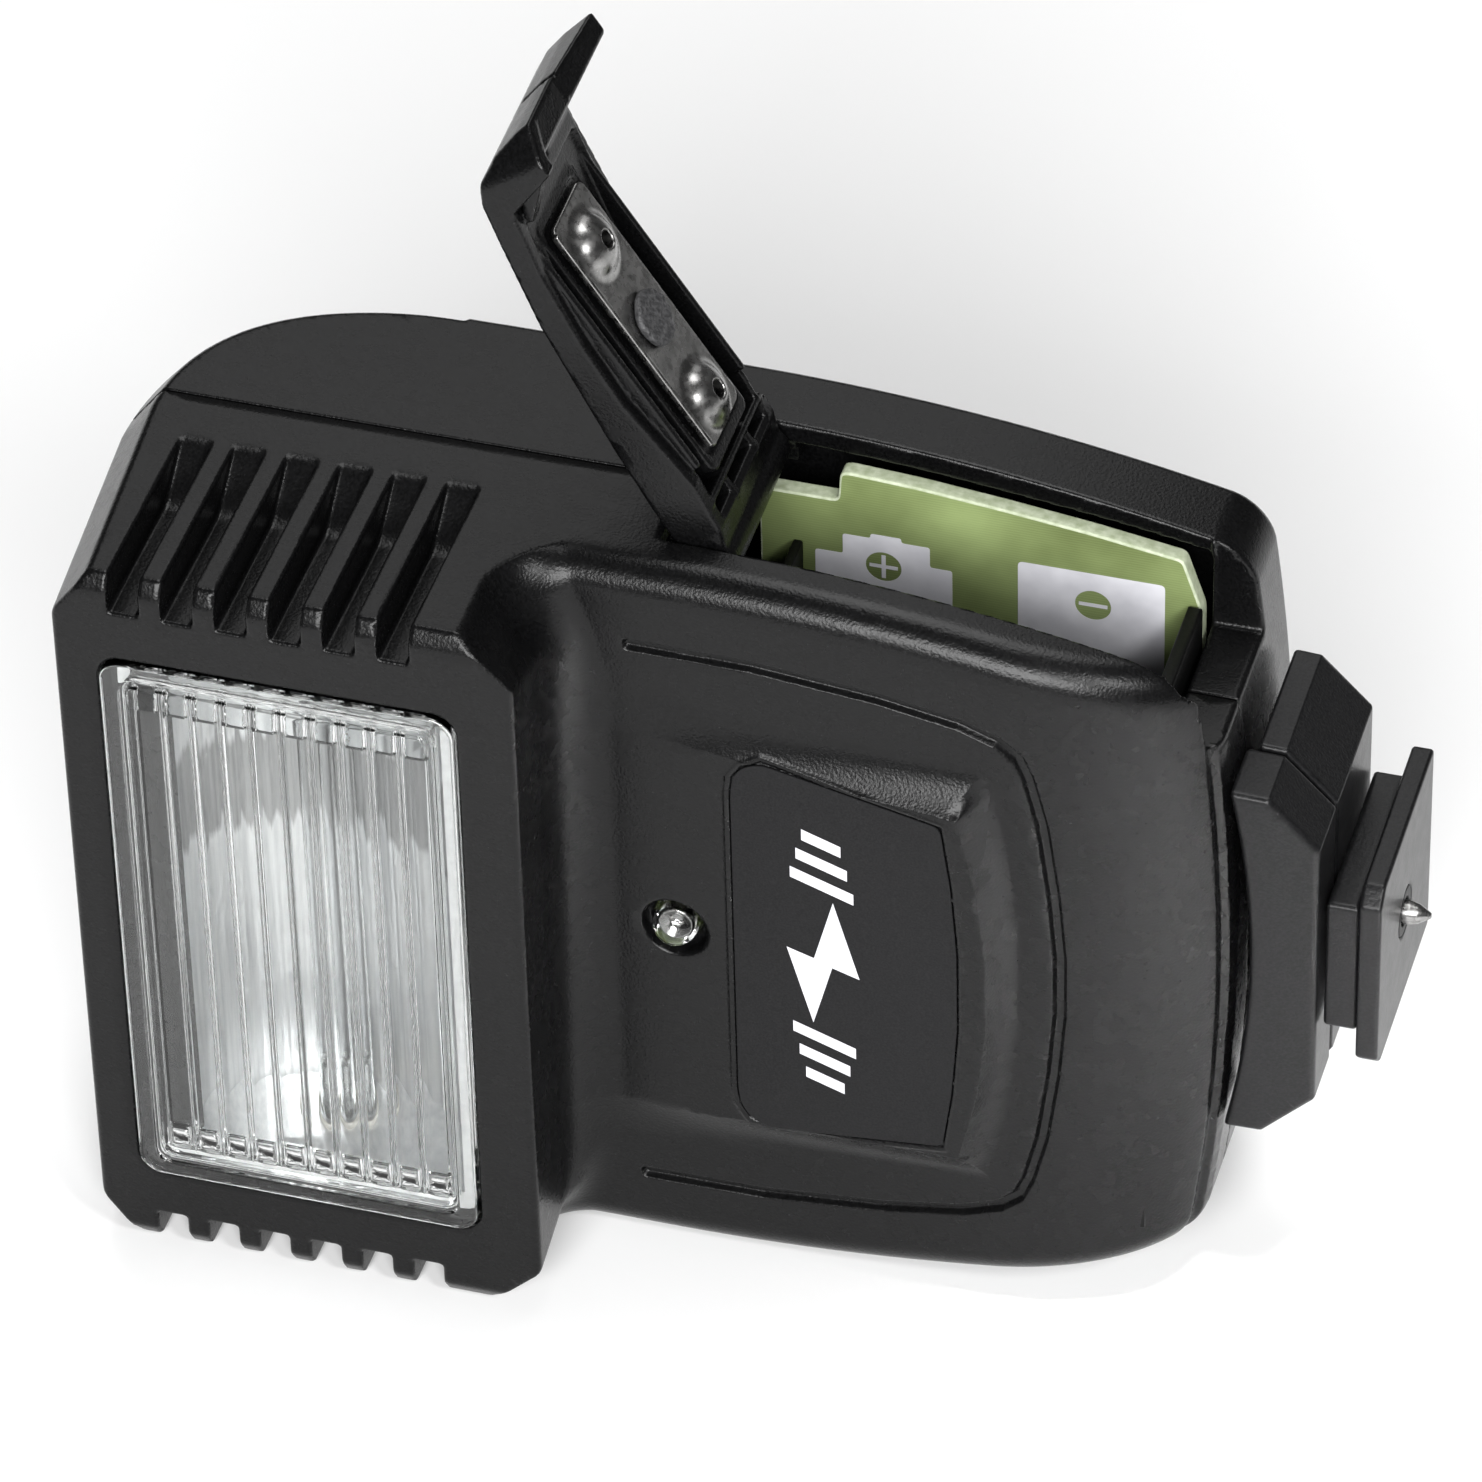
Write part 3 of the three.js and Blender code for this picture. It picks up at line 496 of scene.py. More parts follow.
def battery_door():
    f = Field((41, DOOR_Y0 - 0.8, 21.4), (85.2, DOOR_Y1 + 0.8, 36.4), STEP * 0.8)
    x, y, z = f.x, f.y, f.z
    tip = 24.0 - 0.22 * np.maximum(y - 23.6, 0) - z
    profile = polygon(x, z, SKIN + LIP + RIM)
    front = DOOR_Y0 + lip_sweep(x)
    across = slab(y, front, DOOR_Y1)
    f.d = both(both(profile, tip, 0.15), across, 0.35)
    skin = z - np.interp(x, [p[0] for p in SKIN], [p[1] for p in SKIN]).astype(np.float32)
    # hollow between the side walls, under the skin
    under = np.maximum(slab(x, 46.6, 76.2), skin + 1.8)
    f.d = minus(f.d, both(both(under, slab(y, DOOR_Y0 + 1.5, DOOR_Y1 - 1.5), 0.5), 20 - z), 0.3)
    # rear wall thinned where it closes over the circuit board
    top = np.interp(x, [45.4, 48, 48.2, 56, 63, 70, 77.7, 79.4], [30, 30, 32.6, 32.3, 31.5, 30.6, 29.4, 24.5])
    f.d = minus(f.d, np.maximum(np.maximum(slab(x, 45.4, 79.4), z - top.astype(np.float32)), 29.9 - y), 0.15)
    # pedestal for the contact plate, and the low walls beside it
    seat = both(both(slab(x, 49.6, 75.0), slab(y, 18.5, 27.4), 0.9), np.maximum(29.9 - z, skin + 0.9), 0.25)
    f.d = either(f.d, seat, 0.15)
    pocket = both(rounded_rect(x, y, 50.9, 73.9, 19.0, 26.9, 1.0) + 0 * z, z - 30.15, 0.1)
    f.d = minus(f.d, pocket, 0.15)
    rails = both(np.minimum(slab(y, 16.9, 17.6), slab(y, 29.2, 29.8)), slab(x, 51.5, 76.2), 0.2)
    f.d = either(f.d, both(rails, np.maximum(29.75 - z, skin + 0.9), 0.2), 0.12)
    # ribs and the knuckle near the hinge
    for x0, x1, low in ((46.1, 47.0, 31.0), (48.1, 48.8, 30.6)):
        rib = both(slab(x, x0, x1), across + 0.6, 0.1)
        f.d = either(f.d, both(rib, np.maximum(low - z, skin + 0.9), 0.2), 0.15)
    for y0 in (20.2, 25.8):
        rib = both(slab(y, y0, y0 + 0.8), slab(x, 46, 49), 0.1)
        f.d = either(f.d, both(rib, np.maximum(30.9 - z, skin + 0.9), 0.2), 0.12)
    from_pin = np.hypot(x - HINGE_X, z - HINGE_Z)
    knuckle = np.minimum(from_pin - 1.9, np.maximum(slab(x, 43.8, 46.2), slab(z, 31.6, 35.1)))
    f.d = either(f.d, both(knuckle, across, 0.3), 0.25)
    f.d = minus(f.d, from_pin - 1.0, 0.1)
    # thick front corner of the lip, latch hook behind it, and the line that continues the housing's seam
    corner = [(83.3, 24.0), (79.9, 23.8), (79.4, 24.9), (77.9, 28.7), (76.0, 29.3), (76.0, 30.9), (80, 30),
              (82.2, 28)]
    f.d = either(f.d, both(polygon(x, z, corner), slab(y, front, front + 1.5), 0.25), 0.15)
    hook = [(76.4, 29.2), (78.4, 28.0), (80.3, 25.2), (79.7, 24.9), (76.2, 28.4)]
    f.d = either(f.d, both(polygon(x, z, hook), slab(y, 16.9, 18.6), 0.2), 0.15)
    line = both(np.abs(y - 24.1) - 0.1, np.maximum(slab(profile, -0.2, 2), 77.5 - x), 0.0)
    f.d = minus(f.d, line, 0.08)
    f.d = minus(f.d, np.maximum(np.hypot(x - STAKE_X, y - STAKE_Y) - 1.3, slab(z, 28, 31.6)), 0.05)
    return f.mesh("battery_door_moulding", turn=door_turn)


# ---- shoe block, neck and foot
def block_outline(left):
    ring = [(left, 17.7), (87.4, 17.6), (NECK_X, 13.2)]
    return ring + [(x, -z) for x, z in reversed(ring)]


def foot_block_front():
    f = Field((83.6, 16.4, -19), (92.6, 24, 19), STEP * 0.8)
    x, y, z = f.x, f.y, f.z
    outline = both(polygon(x, z, block_outline(BLOCK_X - 1)), 86.1 - z ** 2 / 170 - x, 0.3)
    f.d = both(outline, slab(y, 17.2, 23.05), 0.55)
    return f.mesh("foot_block_front_moulding")


def foot_block_rear():
    f = Field((84, 22.6, -19), (92.6, 36.2, 19), STEP * 0.8)
    x, y, z = f.x, f.y, f.z
    f.d = both(polygon(x, z, block_outline(BLOCK_X)) + 0 * y, slab(y, 23.3, 35.3), 0.35)
    f.d = minus(f.d, np.hypot(y - PIN_Y, z) - 2.2 + 0 * x, 0.1)
    return f.mesh("foot_block_rear_moulding")


def foot_neck():
    f = Field((91, 18.2, -7.4), (95.4, 36, 7.4), STEP * 0.6)
    x, y, z = f.x, f.y, f.z
    f.d = both(both(slab(x, NECK_X + 0.2, PLATE_X - 0.2), slab(y, 18.9, 35.3), 0.3), np.abs(z) - 6.5, 0.5)
    f.d = minus(f.d, np.hypot(y - PIN_Y, z) - 2.2, 0.05)
    return f.mesh("foot_neck_moulding")


def foot_plate():
    f = Field((94, 16.9, -10), (97.2, 36.5, 10), STEP * 0.6)
    x, y, z = f.x, f.y, f.z
    sides = both(slab(y, 17.6, 35.8), np.abs(z) - FOOT_HALF, 0.35)
    corner = (17.6 + 1.4 - y + np.abs(z) - FOOT_HALF) / math.sqrt(2)
    f.d = both(both(sides, corner, 0.2), slab(x, PLATE_X, FOOT_END), 0.3)
    f.d = minus(f.d, np.hypot(y - PIN_Y, z) - 2.15, 0.2)
    return f.mesh("foot_plate_moulding")


# ---- small metal and clear parts
def window_lens():
    f = Field((WIN_X0 - 1, -WIN_PROUD - 0.8, -28.4), (WIN_X1 + 1, 3.2, 28.4), STEP * 0.8)
    x, y, z = f.x, f.y, f.z
    outline = rounded_rect(x, z, WIN_X0, WIN_X1, -WIN_HALF, WIN_HALF, WIN_CORNER)
    f.d = both(outline + 0 * y, slab(y, -WIN_PROUD, 0.9), 0.28)
    body = rounded_rect(x, z, 0.75, 25.75, -25.4, 25.4, 1.1)
    f.d = either(f.d, both(body + 0 * y, slab(y, 0, 2.2), 0.15), 0.2)
    # step round the fluted panel
    f.d = minus(f.d, both(np.abs(body + 0.1) - 0.3 + 0 * y, y + WIN_PROUD - 0.28, 0.1), 0.15)
    # shallow flutes on the inner face with a thin notch between two of them
    pitch = 2.41
    u = (x - 1.2) / pitch
    across = np.abs(u - np.floor(u) - 0.5) * pitch
    inside = np.maximum(slab(x, 1.2, 25.3), np.abs(z) - 24.9)
    f.d = minus(f.d, both(1.5 + 0.12 * across ** 2 - y, inside, 0.12), 0.06)
    notch = np.maximum(pitch / 2 - across - 0.17, 0.95 - y)
    f.d = minus(f.d, np.maximum(notch, np.maximum(slab(x, 1.7, 24.9), np.abs(z) - 24.6)), 0.05)
    # a small slanted prism at both ends of each flute
    prism = np.maximum(across - 0.75, slab(np.abs(z), 22.1, 24.3))
    slant = 0.75 + 0.3 * (np.abs(z) - 22.1) - y
    f.d = minus(f.d, np.maximum(np.maximum(prism, slant), slab(x, 1.2, 25.3)), 0.04)
    return f.mesh("window_lens_pane", adaptivity=0.002)


def label_plate():
    """Thin plate that follows the pad's slope, seated in the cover."""
    ring = rounded(LABEL, 0.7, closed=True)
    obj = plate("label_plate_face", ring, lambda x: pad_y(x) - 0.03, lambda x: pad_y(x) + 0.13)
    bevel = obj.modifiers.new("edge", "BEVEL")
    bevel.width, bevel.segments, bevel.limit_method = 0.00005, 2, "ANGLE"
    return obj


def door_contact_plate():
    f = Field((50.4, 18.4, 27), (74.4, 27.5, 30.6), STEP * 0.6)
    x, y, z = f.x, f.y, f.z
    sheet = both(rounded_rect(x, y, 51.2, 73.6, 19.3, 26.6, 1.0) + 0 * z, slab(z, 29.4, 29.75), 0.1)
    lip = both(both(slab(x, 51.6, 73.2), slab(y, 19.3, 19.75), 0.1), slab(z, 29.15, 29.7), 0.1)
    f.d = either(sheet, lip, 0.1)
    for cx in CELLS_X:
        r = np.hypot(x - cx, y - CELL_Y - 0.25)
        dome = np.maximum(np.sqrt(r ** 2 + (z - 31.15) ** 2 + 0.01) - 3.2, z - 29.6)
        f.d = either(f.d, dome, 0.5)
    for cx in CELLS_X:
        f.d = minus(f.d, np.hypot(x - cx, y - CELL_Y - 0.25) - 0.72 + 0 * z, 0.12)
    f.d = minus(f.d, np.hypot(x - STAKE_X, y - STAKE_Y) - 1.3 + 0 * z, 0.02)
    return f.mesh("door_contact_plate_sheet", turn=door_turn)


def door_rivet():
    f = Field((58.6, 19.7, 27.4), (65.2, 26.3, 31.4), STEP * 0.5)
    x, y, z = f.x, f.y, f.z
    r = np.hypot(x - STAKE_X, y - STAKE_Y)
    lumps = 0.07 * np.sin(5.1 * x + 2 * np.sin(4.7 * y)) * np.cos(4.3 * y + 1.3)
    lumps = lumps + 0.05 * np.sin(10 * x + 5) * np.sin(9 * y)
    edge = 2.3 + 0.04 * np.sin(5 * np.arctan2(y - STAKE_Y, x - STAKE_X) + 1)
    head = both(r - edge, slab(z, 28.72 + lumps, 29.35), 0.25)
    f.d = either(head, both(r - 1.0, slab(z, 29, 30.9), 0.1), 0.1)
    return f.mesh("door_rivet_stake", turn=door_turn)


def screw(i, sx, sz):
    f = Field((sx - 2.4, 20, sz - 2.4), (sx + 2.4, 34.4, sz + 2.4), STEP * 0.6)
    x, y, z = f.x - sx, f.y, f.z - sz
    r = np.hypot(x, z)
    head = both(r - 1.75, slab(y, 32, 33.6 - 0.12 * r * r), 0.2)
    thread = r - 0.78 - 0.12 * np.abs(np.sin(math.pi * (y - 0.5 * np.arctan2(z, x) / math.pi)))
    f.d = either(head, both(thread, slab(y, 20.8, 32.2), 0.1), 0.1)
    one_slot = np.maximum(np.abs(x) - 0.24, np.abs(z) - 1.05)
    other_slot = np.maximum(np.abs(z) - 0.24, np.abs(x) - 1.05)
    cross = np.minimum(one_slot, other_slot)
    f.d = minus(f.d, np.maximum(cross + 0.3 * np.maximum(33.4 - y, 0), 32.7 - y), 0.08)
    return f.mesh(f"housing_screw_{i}_head")


def power_switch():
    f = Field((SWITCH_X - 3.8, 34, -5.4), (SWITCH_X + 3.8, 39.3, 1.8), STEP * 0.6)
    x, y, z = f.x - SWITCH_X, f.y, f.z
    crown = 38.8 - 0.05 * (z + 1.8) ** 2
    knob = both(both(np.abs(x) - 1.4, slab(z, -3.7, 0.1), 0.35), slab(y, 35, crown), 0.25)
    base = both(both(np.abs(x) - 3, slab(z, -4.6, 1), 0.3), slab(y, 34.6, 35.6), 0.2)
    f.d = either(knob, base, 0.2)
    for k in range(5):
        f.d = minus(f.d, np.hypot(y - 38.95, z + 0.5 + 0.65 * k) - 0.24 + 0 * x, 0.08)
    return f.mesh("power_switch_knob")


# ---- turned, extruded and printed parts
def built(name, bm, smooth_faces=False):
    """Object from a finished bmesh, with its faces turned outward."""
    bmesh.ops.recalc_face_normals(bm, faces=bm.faces)
    mesh = bpy.data.meshes.new(name)
    bm.to_mesh(mesh)
    bm.free()
    if smooth_faces:
        mesh.polygons.foreach_set("use_smooth", [True] * len(mesh.polygons))
    return link(name, mesh)


def plate(name, ring, front_y, back_y, side_slot=0):
    """Plate on an outline in x and z, between two faces given as y(x)."""
    bm = bmesh.new()
    front = [bm.verts.new(metres((x, front_y(x), z))) for x, z in ring]
    back = [bm.verts.new(metres((x, back_y(x), z))) for x, z in ring]
    bm.faces.new(front)
    bm.faces.new(back[::-1])
    for k in range(len(ring)):
        after = (k + 1) % len(ring)
        side = bm.faces.new([front[k], back[k], back[after], front[after]])
        side.material_index = side_slot
    return built(name, bm)


def rounded(points, r, steps=4, closed=False):
    """Outline whose corners are rounded from r before each corner."""
    out = []
    for i, corner in enumerate(points):
        p = Vector(corner)
        if not closed and i in (0, len(points) - 1):
            out.append(tuple(p))
            continue
        before, after = Vector(points[i - 1]) - p, Vector(points[(i + 1) % len(points)]) - p
        a = p + before.normalized() * min(r, before.length * 0.45)
        b = p + after.normalized() * min(r, after.length * 0.45)
        for k in range(steps + 1):
            t = k / steps
            out.append(tuple(a * (1 - t) ** 2 + p * 2 * t * (1 - t) + b * t * t))
    return out


def lathe(name, axis, centre, profile, r=0.1, closed=False, segments=72):
    """Turned piece: profile of (radius, height) about an axis through centre."""
    a, b, c = {"x": (1, 2, 0), "y": (2, 0, 1), "z": (0, 1, 2)}[axis]
    bm = bmesh.new()
    rings = []
    for radius, height in rounded(profile, r, closed=closed):
        count = segments if radius > 1e-6 else 1
        ring = []
        for k in range(count):
            p = [0.0, 0.0, 0.0]
            p[a] = centre[a] + radius * math.cos(2 * math.pi * k / segments)
            p[b] = centre[b] + radius * math.sin(2 * math.pi * k / segments)
            p[c] = centre[c] + height
            ring.append(bm.verts.new(metres(p)))
        rings.append(ring)
    pairs = list(zip(rings, rings[1:]))
    if closed:
        pairs.append((rings[-1], rings[0]))
    for low, high in pairs:
        for k in range(segments):
            loop = [low[k % len(low)], low[(k + 1) % len(low)]]
            loop += [high[(k + 1) % len(high)], high[k % len(high)]]
            bm.faces.new(list(dict.fromkeys(loop)))
    return built(name, bm, smooth_faces=True)


def printed(name, loops, place, thick=0.03):
    """Thin inked shape: nested outlines filled by the even-odd rule, put in place by place(u, v, w)."""
    curve = bpy.data.curves.new(name, "CURVE")
    curve.dimensions = "2D"
    curve.fill_mode = "BOTH"
    curve.extrude = thick / 2
    for loop in loops:
        spline = curve.splines.new("POLY")
        spline.points.add(len(loop) - 1)
        for point, (u, v) in zip(spline.points, loop):
            point.co = (u, v, 0, 1)
        spline.use_cyclic_u = True
    source = link(name + "_source", curve)
    mesh = bpy.data.meshes.new_from_object(source.evaluated_get(bpy.context.evaluated_depsgraph_get()))
    bpy.data.objects.remove(source)
    bm = bmesh.new()
    bm.from_mesh(mesh)
    bmesh.ops.remove_doubles(bm, verts=bm.verts, dist=1e-4)
    for v in bm.verts:
        v.co = metres(place(*v.co))
    bmesh.ops.recalc_face_normals(bm, faces=bm.faces)
    bm.to_mesh(mesh)
    bm.free()
    mesh.name = name
    return link(name, mesh)


def circle(u, v, r, count=48):
    angles = [2 * math.pi * k / count for k in range(count)]
    return [(u + r * math.cos(a), v + r * math.sin(a)) for a in angles]


def rect(u0, u1, v0, v1):
    return [(u0, v0), (u1, v0), (u1, v1), (u0, v1)]


def plus(u, v, long, wide):
    half = [(wide, long), (wide, wide), (long, wide)]
    quarter = lambda a, b: [(u + a * p, v + b * q) for p, q in half]
    return quarter(1, 1) + quarter(1, -1)[::-1] + quarter(-1, -1) + quarter(-1, 1)[::-1]


def board():
    """Circuit board with green faces and a pale cut edge."""
    outline = [(43.2, 29.2), (49.6, 29.2), (49.8, 31.9), (50.5, 32.1), (56, 31.75), (63, 31), (70, 30.1),
               (77.3, 28.9), (78.9, 24), (79, -27), (43.2, -27)]
    ring = rounded(outline, 0.5, closed=True)
    obj = plate("circuit_board_panel", ring, lambda x: 30.3, lambda x: 31.8, side_slot=1)
    bevel = obj.modifiers.new("edge", "BEVEL")
    bevel.width, bevel.segments, bevel.material = 0.00018, 3, 1
    return obj


def board_prints():
    place = lambda u, v, w: (u, 30.27 - w, v)
    cell = [(47.7, 0), (47.7, 23.9), (49.95, 23.9), (49.95, 25.9), (52.2, 25.9), (52.2, 26.35), (54.7, 26.35),
            (54.7, 25.9), (57.0, 25.9), (57.0, 23.9), (58.8, 23.9), (58.8, 0)]
    one = printed("board_print_plus", [rounded(cell, 0.25, closed=True), circle(53.25, 23.2, 1.45),
                                       plus(53.25, 23.2, 1.15, 0.17)], place)
    pad = rounded(rect(64.1, 75.9, 0, 26.1), 0.45, closed=True)
    minus_mark = rect(69.0, 71.3, 22.73, 23.07)
    two = printed("board_print_minus", [pad, circle(70.15, 22.9, 1.45), minus_mark], place)
    return one, two


def label_mark():
    """Generic lightning bolt between slanted bars."""
    bolt = [(-6.6, 0.9), (0.9, 3.0), (0.3, 0.75), (6.6, -0.9), (-0.9, -3.0), (-0.3, -0.75)]
    loops = [bolt]
    for side in (-1, 1):
        for k in range(3):
            at = side * (8.2 + 2.2 * k)
            tall = 2.6 - 0.5 * k
            slant = 0.3 * tall
            loops.append([(at - 0.55 - slant, -tall), (at + 0.55 - slant, -tall),
                          (at + 0.55 + slant, tall), (at - 0.55 + slant, tall)])
    place = lambda u, v, w: (53.9 - v, pad_y(53.9 - v) - 0.04 - w, u)
    return printed("label_mark", loops, place)


def reflector():
    """Polished trough behind the window, slightly crinkled along its length."""
    rng = np.random.default_rng(7)
    across, along = 72, 90
    half_wide, deep, half_long, mouth_y = 13.3, 11.8, 26.4, 2.9
    ripple = rng.normal(0, 0.08, (across + 1, 1)) + rng.normal(0, 0.05, (across + 1, along + 1))
    bm = bmesh.new()
    grid = []
    for i in range(across + 1):
        t = math.pi * i / across
        row = []
        for j in range(along + 1):
            z = -half_long + 2 * half_long * j / along
            bulge = float(ripple[i, j]) if 0 < j < along and 0 < i < across else 0.0
            radius = 1 + bulge / 13
            p = (TUBE_X - half_wide * radius * math.cos(t), mouth_y + deep * radius * math.sin(t), z)
            row.append(bm.verts.new(metres(p)))
        grid.append(row)
    for i in range(across):
        for j in range(along):
            bm.faces.new([grid[i][j], grid[i + 1][j], grid[i + 1][j + 1], grid[i][j + 1]])
    for j in (0, along):
        hub = bm.verts.new(metres((TUBE_X, 7.5, -half_long + 2 * half_long * j / along)))
        for i in range(across):
            bm.faces.new([grid[i][j], grid[i + 1][j], hub])
        bm.faces.new([grid[across][j], grid[0][j], hub])
    obj = built("reflector_trough", bm, smooth_faces=True)
    obj.data.set_sharp_from_angle(angle=math.radians(50))
    skin = obj.modifiers.new("skin", "SOLIDIFY")
    skin.thickness, skin.offset = 0.00025, 0
    return obj


def reflector_rim():
    """Bright frame that closes the gap between the trough and the window's flange."""
    loops = [rounded(rect(-0.3, 26.8, -26.9, 26.9), 1.2, closed=True), rect(0.7, 25.8, -25.1, 25.1)]
    return printed("reflector_rim", loops, lambda u, v, w: (u, 2.55 - w, v), 0.15)


# ---- finishes, all procedural
class Finish:
    """A material with its shader and the few node recipes that the finishes share."""

    def __init__(self, name, **values):
        self.material = bpy.data.materials.new(name)
        self.material.use_nodes = True
        self.tree = self.material.node_tree
        self.shader = self.tree.nodes["Principled BSDF"]
        self.place = self.tree.nodes.new("ShaderNodeTexCoord").outputs["Object"]
        for socket, value in values.items():
            self.shader.inputs[socket.replace("_", " ")].default_value = value

    def node(self, kind, **inputs):
        made = self.tree.nodes.new(kind)
        for name, value in inputs.items():
            socket = made.inputs[name.replace("_", " ")]
            if isinstance(value, bpy.types.NodeSocket):
                self.tree.links.new(value, socket)
            else:
                socket.default_value = value
        return made

    def noise(self, scale, detail=2.0, stretch=(1, 1, 1)):
        scaled = self.node("ShaderNodeMapping", Vector=self.place, Scale=stretch).outputs["Vector"]
        return self.node("ShaderNodeTexNoise", Vector=scaled, Scale=scale, Detail=detail).outputs["Fac"]

    def spread(self, value, low, high, start=0.3, end=0.7):
        made = self.node("ShaderNodeMapRange", Value=value)
        for name, number in (("From Min", start), ("From Max", end), ("To Min", low), ("To Max", high)):
            made.inputs[name].default_value = number
        return made.outputs["Result"]

    def tones(self, value, dark, light, start=0.3, end=0.7):
        made = self.tree.nodes.new("ShaderNodeValToRGB")
        made.color_ramp.elements[0].position, made.color_ramp.elements[1].position = start, end
        made.color_ramp.elements[0].color = (*dark, 1)
        made.color_ramp.elements[1].color = (*light, 1)
        self.tree.links.new(value, made.inputs["Fac"])
        return made.outputs["Color"]

    def drive(self, socket, value):
        self.tree.links.new(value, self.shader.inputs[socket])

    def relief(self, height, depth, strength=1.0, over=None):
        made = self.node("ShaderNodeBump", Height=height, Strength=strength, Distance=depth)
        if over is not None:
            self.tree.links.new(over, made.inputs["Normal"])
        self.tree.links.new(made.outputs["Normal"], self.shader.inputs["Normal"])
        return made.outputs["Normal"]


def moulded(name, dark, light, rough, grain, specular=0.5, scale=4200.0):
    """Moulded plastic with a fine spark-eroded grain."""
    f = Finish(name, Specular_IOR_Level=specular)
    f.drive("Base Color", f.tones(f.noise(scale, 3.0), dark, light, 0.35, 0.75))
    f.drive("Roughness", f.spread(f.noise(620.0, 3.0), rough - 0.02, rough + 0.02))
    f.relief(f.noise(scale, 2.0), grain, 1.0, f.relief(f.noise(240.0, 2.0), 0.000003, 0.5))
    return f.material


def metal(name, dark, light, rough, stretch=(1, 1, 1), grain=0.000004):
    f = Finish(name, Metallic=1.0)
    f.drive("Base Color", f.tones(f.noise(700.0, 4.0, stretch), dark, light))
    f.drive("Roughness", f.spread(f.noise(1500.0, 3.0, stretch), rough * 0.7, rough * 1.3))
    f.relief(f.noise(2600.0, 2.0, stretch), grain)
    return f.material


def clear(name, tint, rough):
    f = Finish(name, Transmission_Weight=1.0, IOR=1.49)
    f.drive("Base Color", f.tones(f.noise(60.0), tuple(0.97 * c for c in tint), tint))
    f.drive("Roughness", f.spread(f.noise(400.0), rough * 0.5, rough * 1.5))
    return f.material


def plain(name, dark, light, rough, scale=900.0, grain=0.00001, **values):
    f = Finish(name, **values)
    f.drive("Base Color", f.tones(f.noise(scale, 3.0), dark, light))
    f.drive("Roughness", f.spread(f.noise(scale * 1.7, 2.0), rough * 0.85, rough * 1.15))
    f.relief(f.noise(scale * 3.0, 2.0), grain)
    return f.material


def board_finish():
    """Solder mask over a woven sheet: fine level lines and slow colour drift."""
    f = Finish("board_green")
    wave = f.node("ShaderNodeTexWave", Vector=f.place, Scale=1300.0, Distortion=0.6, Detail=1.0)
    wave.bands_direction = "Z"
    mixed = f.node("ShaderNodeMath", Value=wave.outputs["Fac"])
    mixed.operation = "MULTIPLY_ADD"
    mixed.inputs[1].default_value = 0.12
    f.tree.links.new(f.noise(110.0, 3.0), mixed.inputs[2])
    dark, light = (0.13, 0.165, 0.06), (0.27, 0.34, 0.14)
    f.drive("Base Color", f.tones(mixed.outputs["Value"], dark, light, 0.35, 0.85))
    f.drive("Roughness", f.spread(f.noise(900.0), 0.3, 0.42))
    f.relief(wave.outputs["Fac"], 0.000006)
    return f.material


def mirror_finish():
    """Polished foil, streaked along its length, with painted shade: a ragged band past the middle whose
    colour is darkened to stand in for a dimmer reflection.
    """
    f = Finish("reflector_metal", Metallic=1.0)
    streaks = f.noise(900.0, 4.0, (1, 1, 0.1))
    height = f.node("ShaderNodeSeparateXYZ", Vector=f.place).outputs["Z"]
    ragged = f.node("ShaderNodeMath", Value=f.noise(700.0, 2.0, (1, 1, 0.03)))
    ragged.operation = "MULTIPLY_ADD"
    ragged.inputs[1].default_value = 0.006
    f.tree.links.new(height, ragged.inputs[2])
    # the band's lower and upper edge, as heights in metres
    into = f.spread(ragged.outputs["Value"], 0.0, 1.0, 0.0395, 0.0405)
    out = f.spread(ragged.outputs["Value"], 1.0, 0.0, 0.0490, 0.0500)
    # mask of the painted-shade band, 1 between its two edges
    band = f.node("ShaderNodeMath", Value=into)
    band.operation = "MULTIPLY"
    f.tree.links.new(out, band.inputs[1])
    bright = f.tones(streaks, (0.74, 0.75, 0.76), (0.97, 0.97, 0.97))
    # painted shade: a darker copy of the foil's tones, used inside the band in place of a dimmer reflection
    painted_shade_tones = f.tones(streaks, (0.26, 0.26, 0.26), (0.52, 0.52, 0.52))
    mixed = f.tree.nodes.new("ShaderNodeMix")
    mixed.data_type = "RGBA"
    f.tree.links.new(band.outputs["Value"], mixed.inputs[0])
    f.tree.links.new(bright, mixed.inputs[6])
    f.tree.links.new(painted_shade_tones, mixed.inputs[7])
    f.drive("Base Color", mixed.outputs[2])
    f.drive("Roughness", f.spread(streaks, 0.28, 0.5))
    f.relief(f.noise(1500.0, 3.0, (1, 1, 0.2)), 0.00004)
    return f.material


SHELL = moulded("shell_black", (0.0015, 0.0015, 0.0016), (0.005, 0.005, 0.0053), 0.27, 0.00003, 0.22)
FOOT = moulded("foot_black", (0.004, 0.004, 0.0044), (0.011, 0.011, 0.0115), 0.32, 0.000024, 0.22)
INNER = moulded("inner_black", (0.002, 0.002, 0.002), (0.006, 0.006, 0.006), 0.42, 0.00001, 0.1)
LABEL_FACE = moulded("label_black", (0.005, 0.005, 0.0055), (0.012, 0.012, 0.0125), 0.42, 0.00001, 0.14,
                     6000.0)
LENS = clear("clear_plastic", (0.97, 0.985, 0.98), 0.02)
GLASS = clear("tube_glass", (0.97, 0.98, 0.985), 0.01)
MIRROR = mirror_finish()
RIM_BRIGHT = plain("rim_white", (0.80, 0.80, 0.80), (0.92, 0.92, 0.92), 0.5)
NICKEL = metal("nickel", (0.20, 0.20, 0.195), (0.36, 0.355, 0.35), 0.28)
STEEL = metal("steel", (0.42, 0.42, 0.42), (0.64, 0.64, 0.63), 0.26)
RUBBER = plain("grommet_rubber", (0.55, 0.53, 0.48), (0.68, 0.66, 0.61), 0.6)
SLEEVE = plain("sleeve_plastic", (0.015, 0.018, 0.024), (0.03, 0.034, 0.042), 0.35)
COPPER = metal("copper_winding", (0.45, 0.16, 0.06), (0.72, 0.30, 0.13), 0.3, (1, 8, 1))
FERRITE = plain("ferrite", (0.03, 0.03, 0.032), (0.07, 0.07, 0.073), 0.6)
BOARD = board_finish()
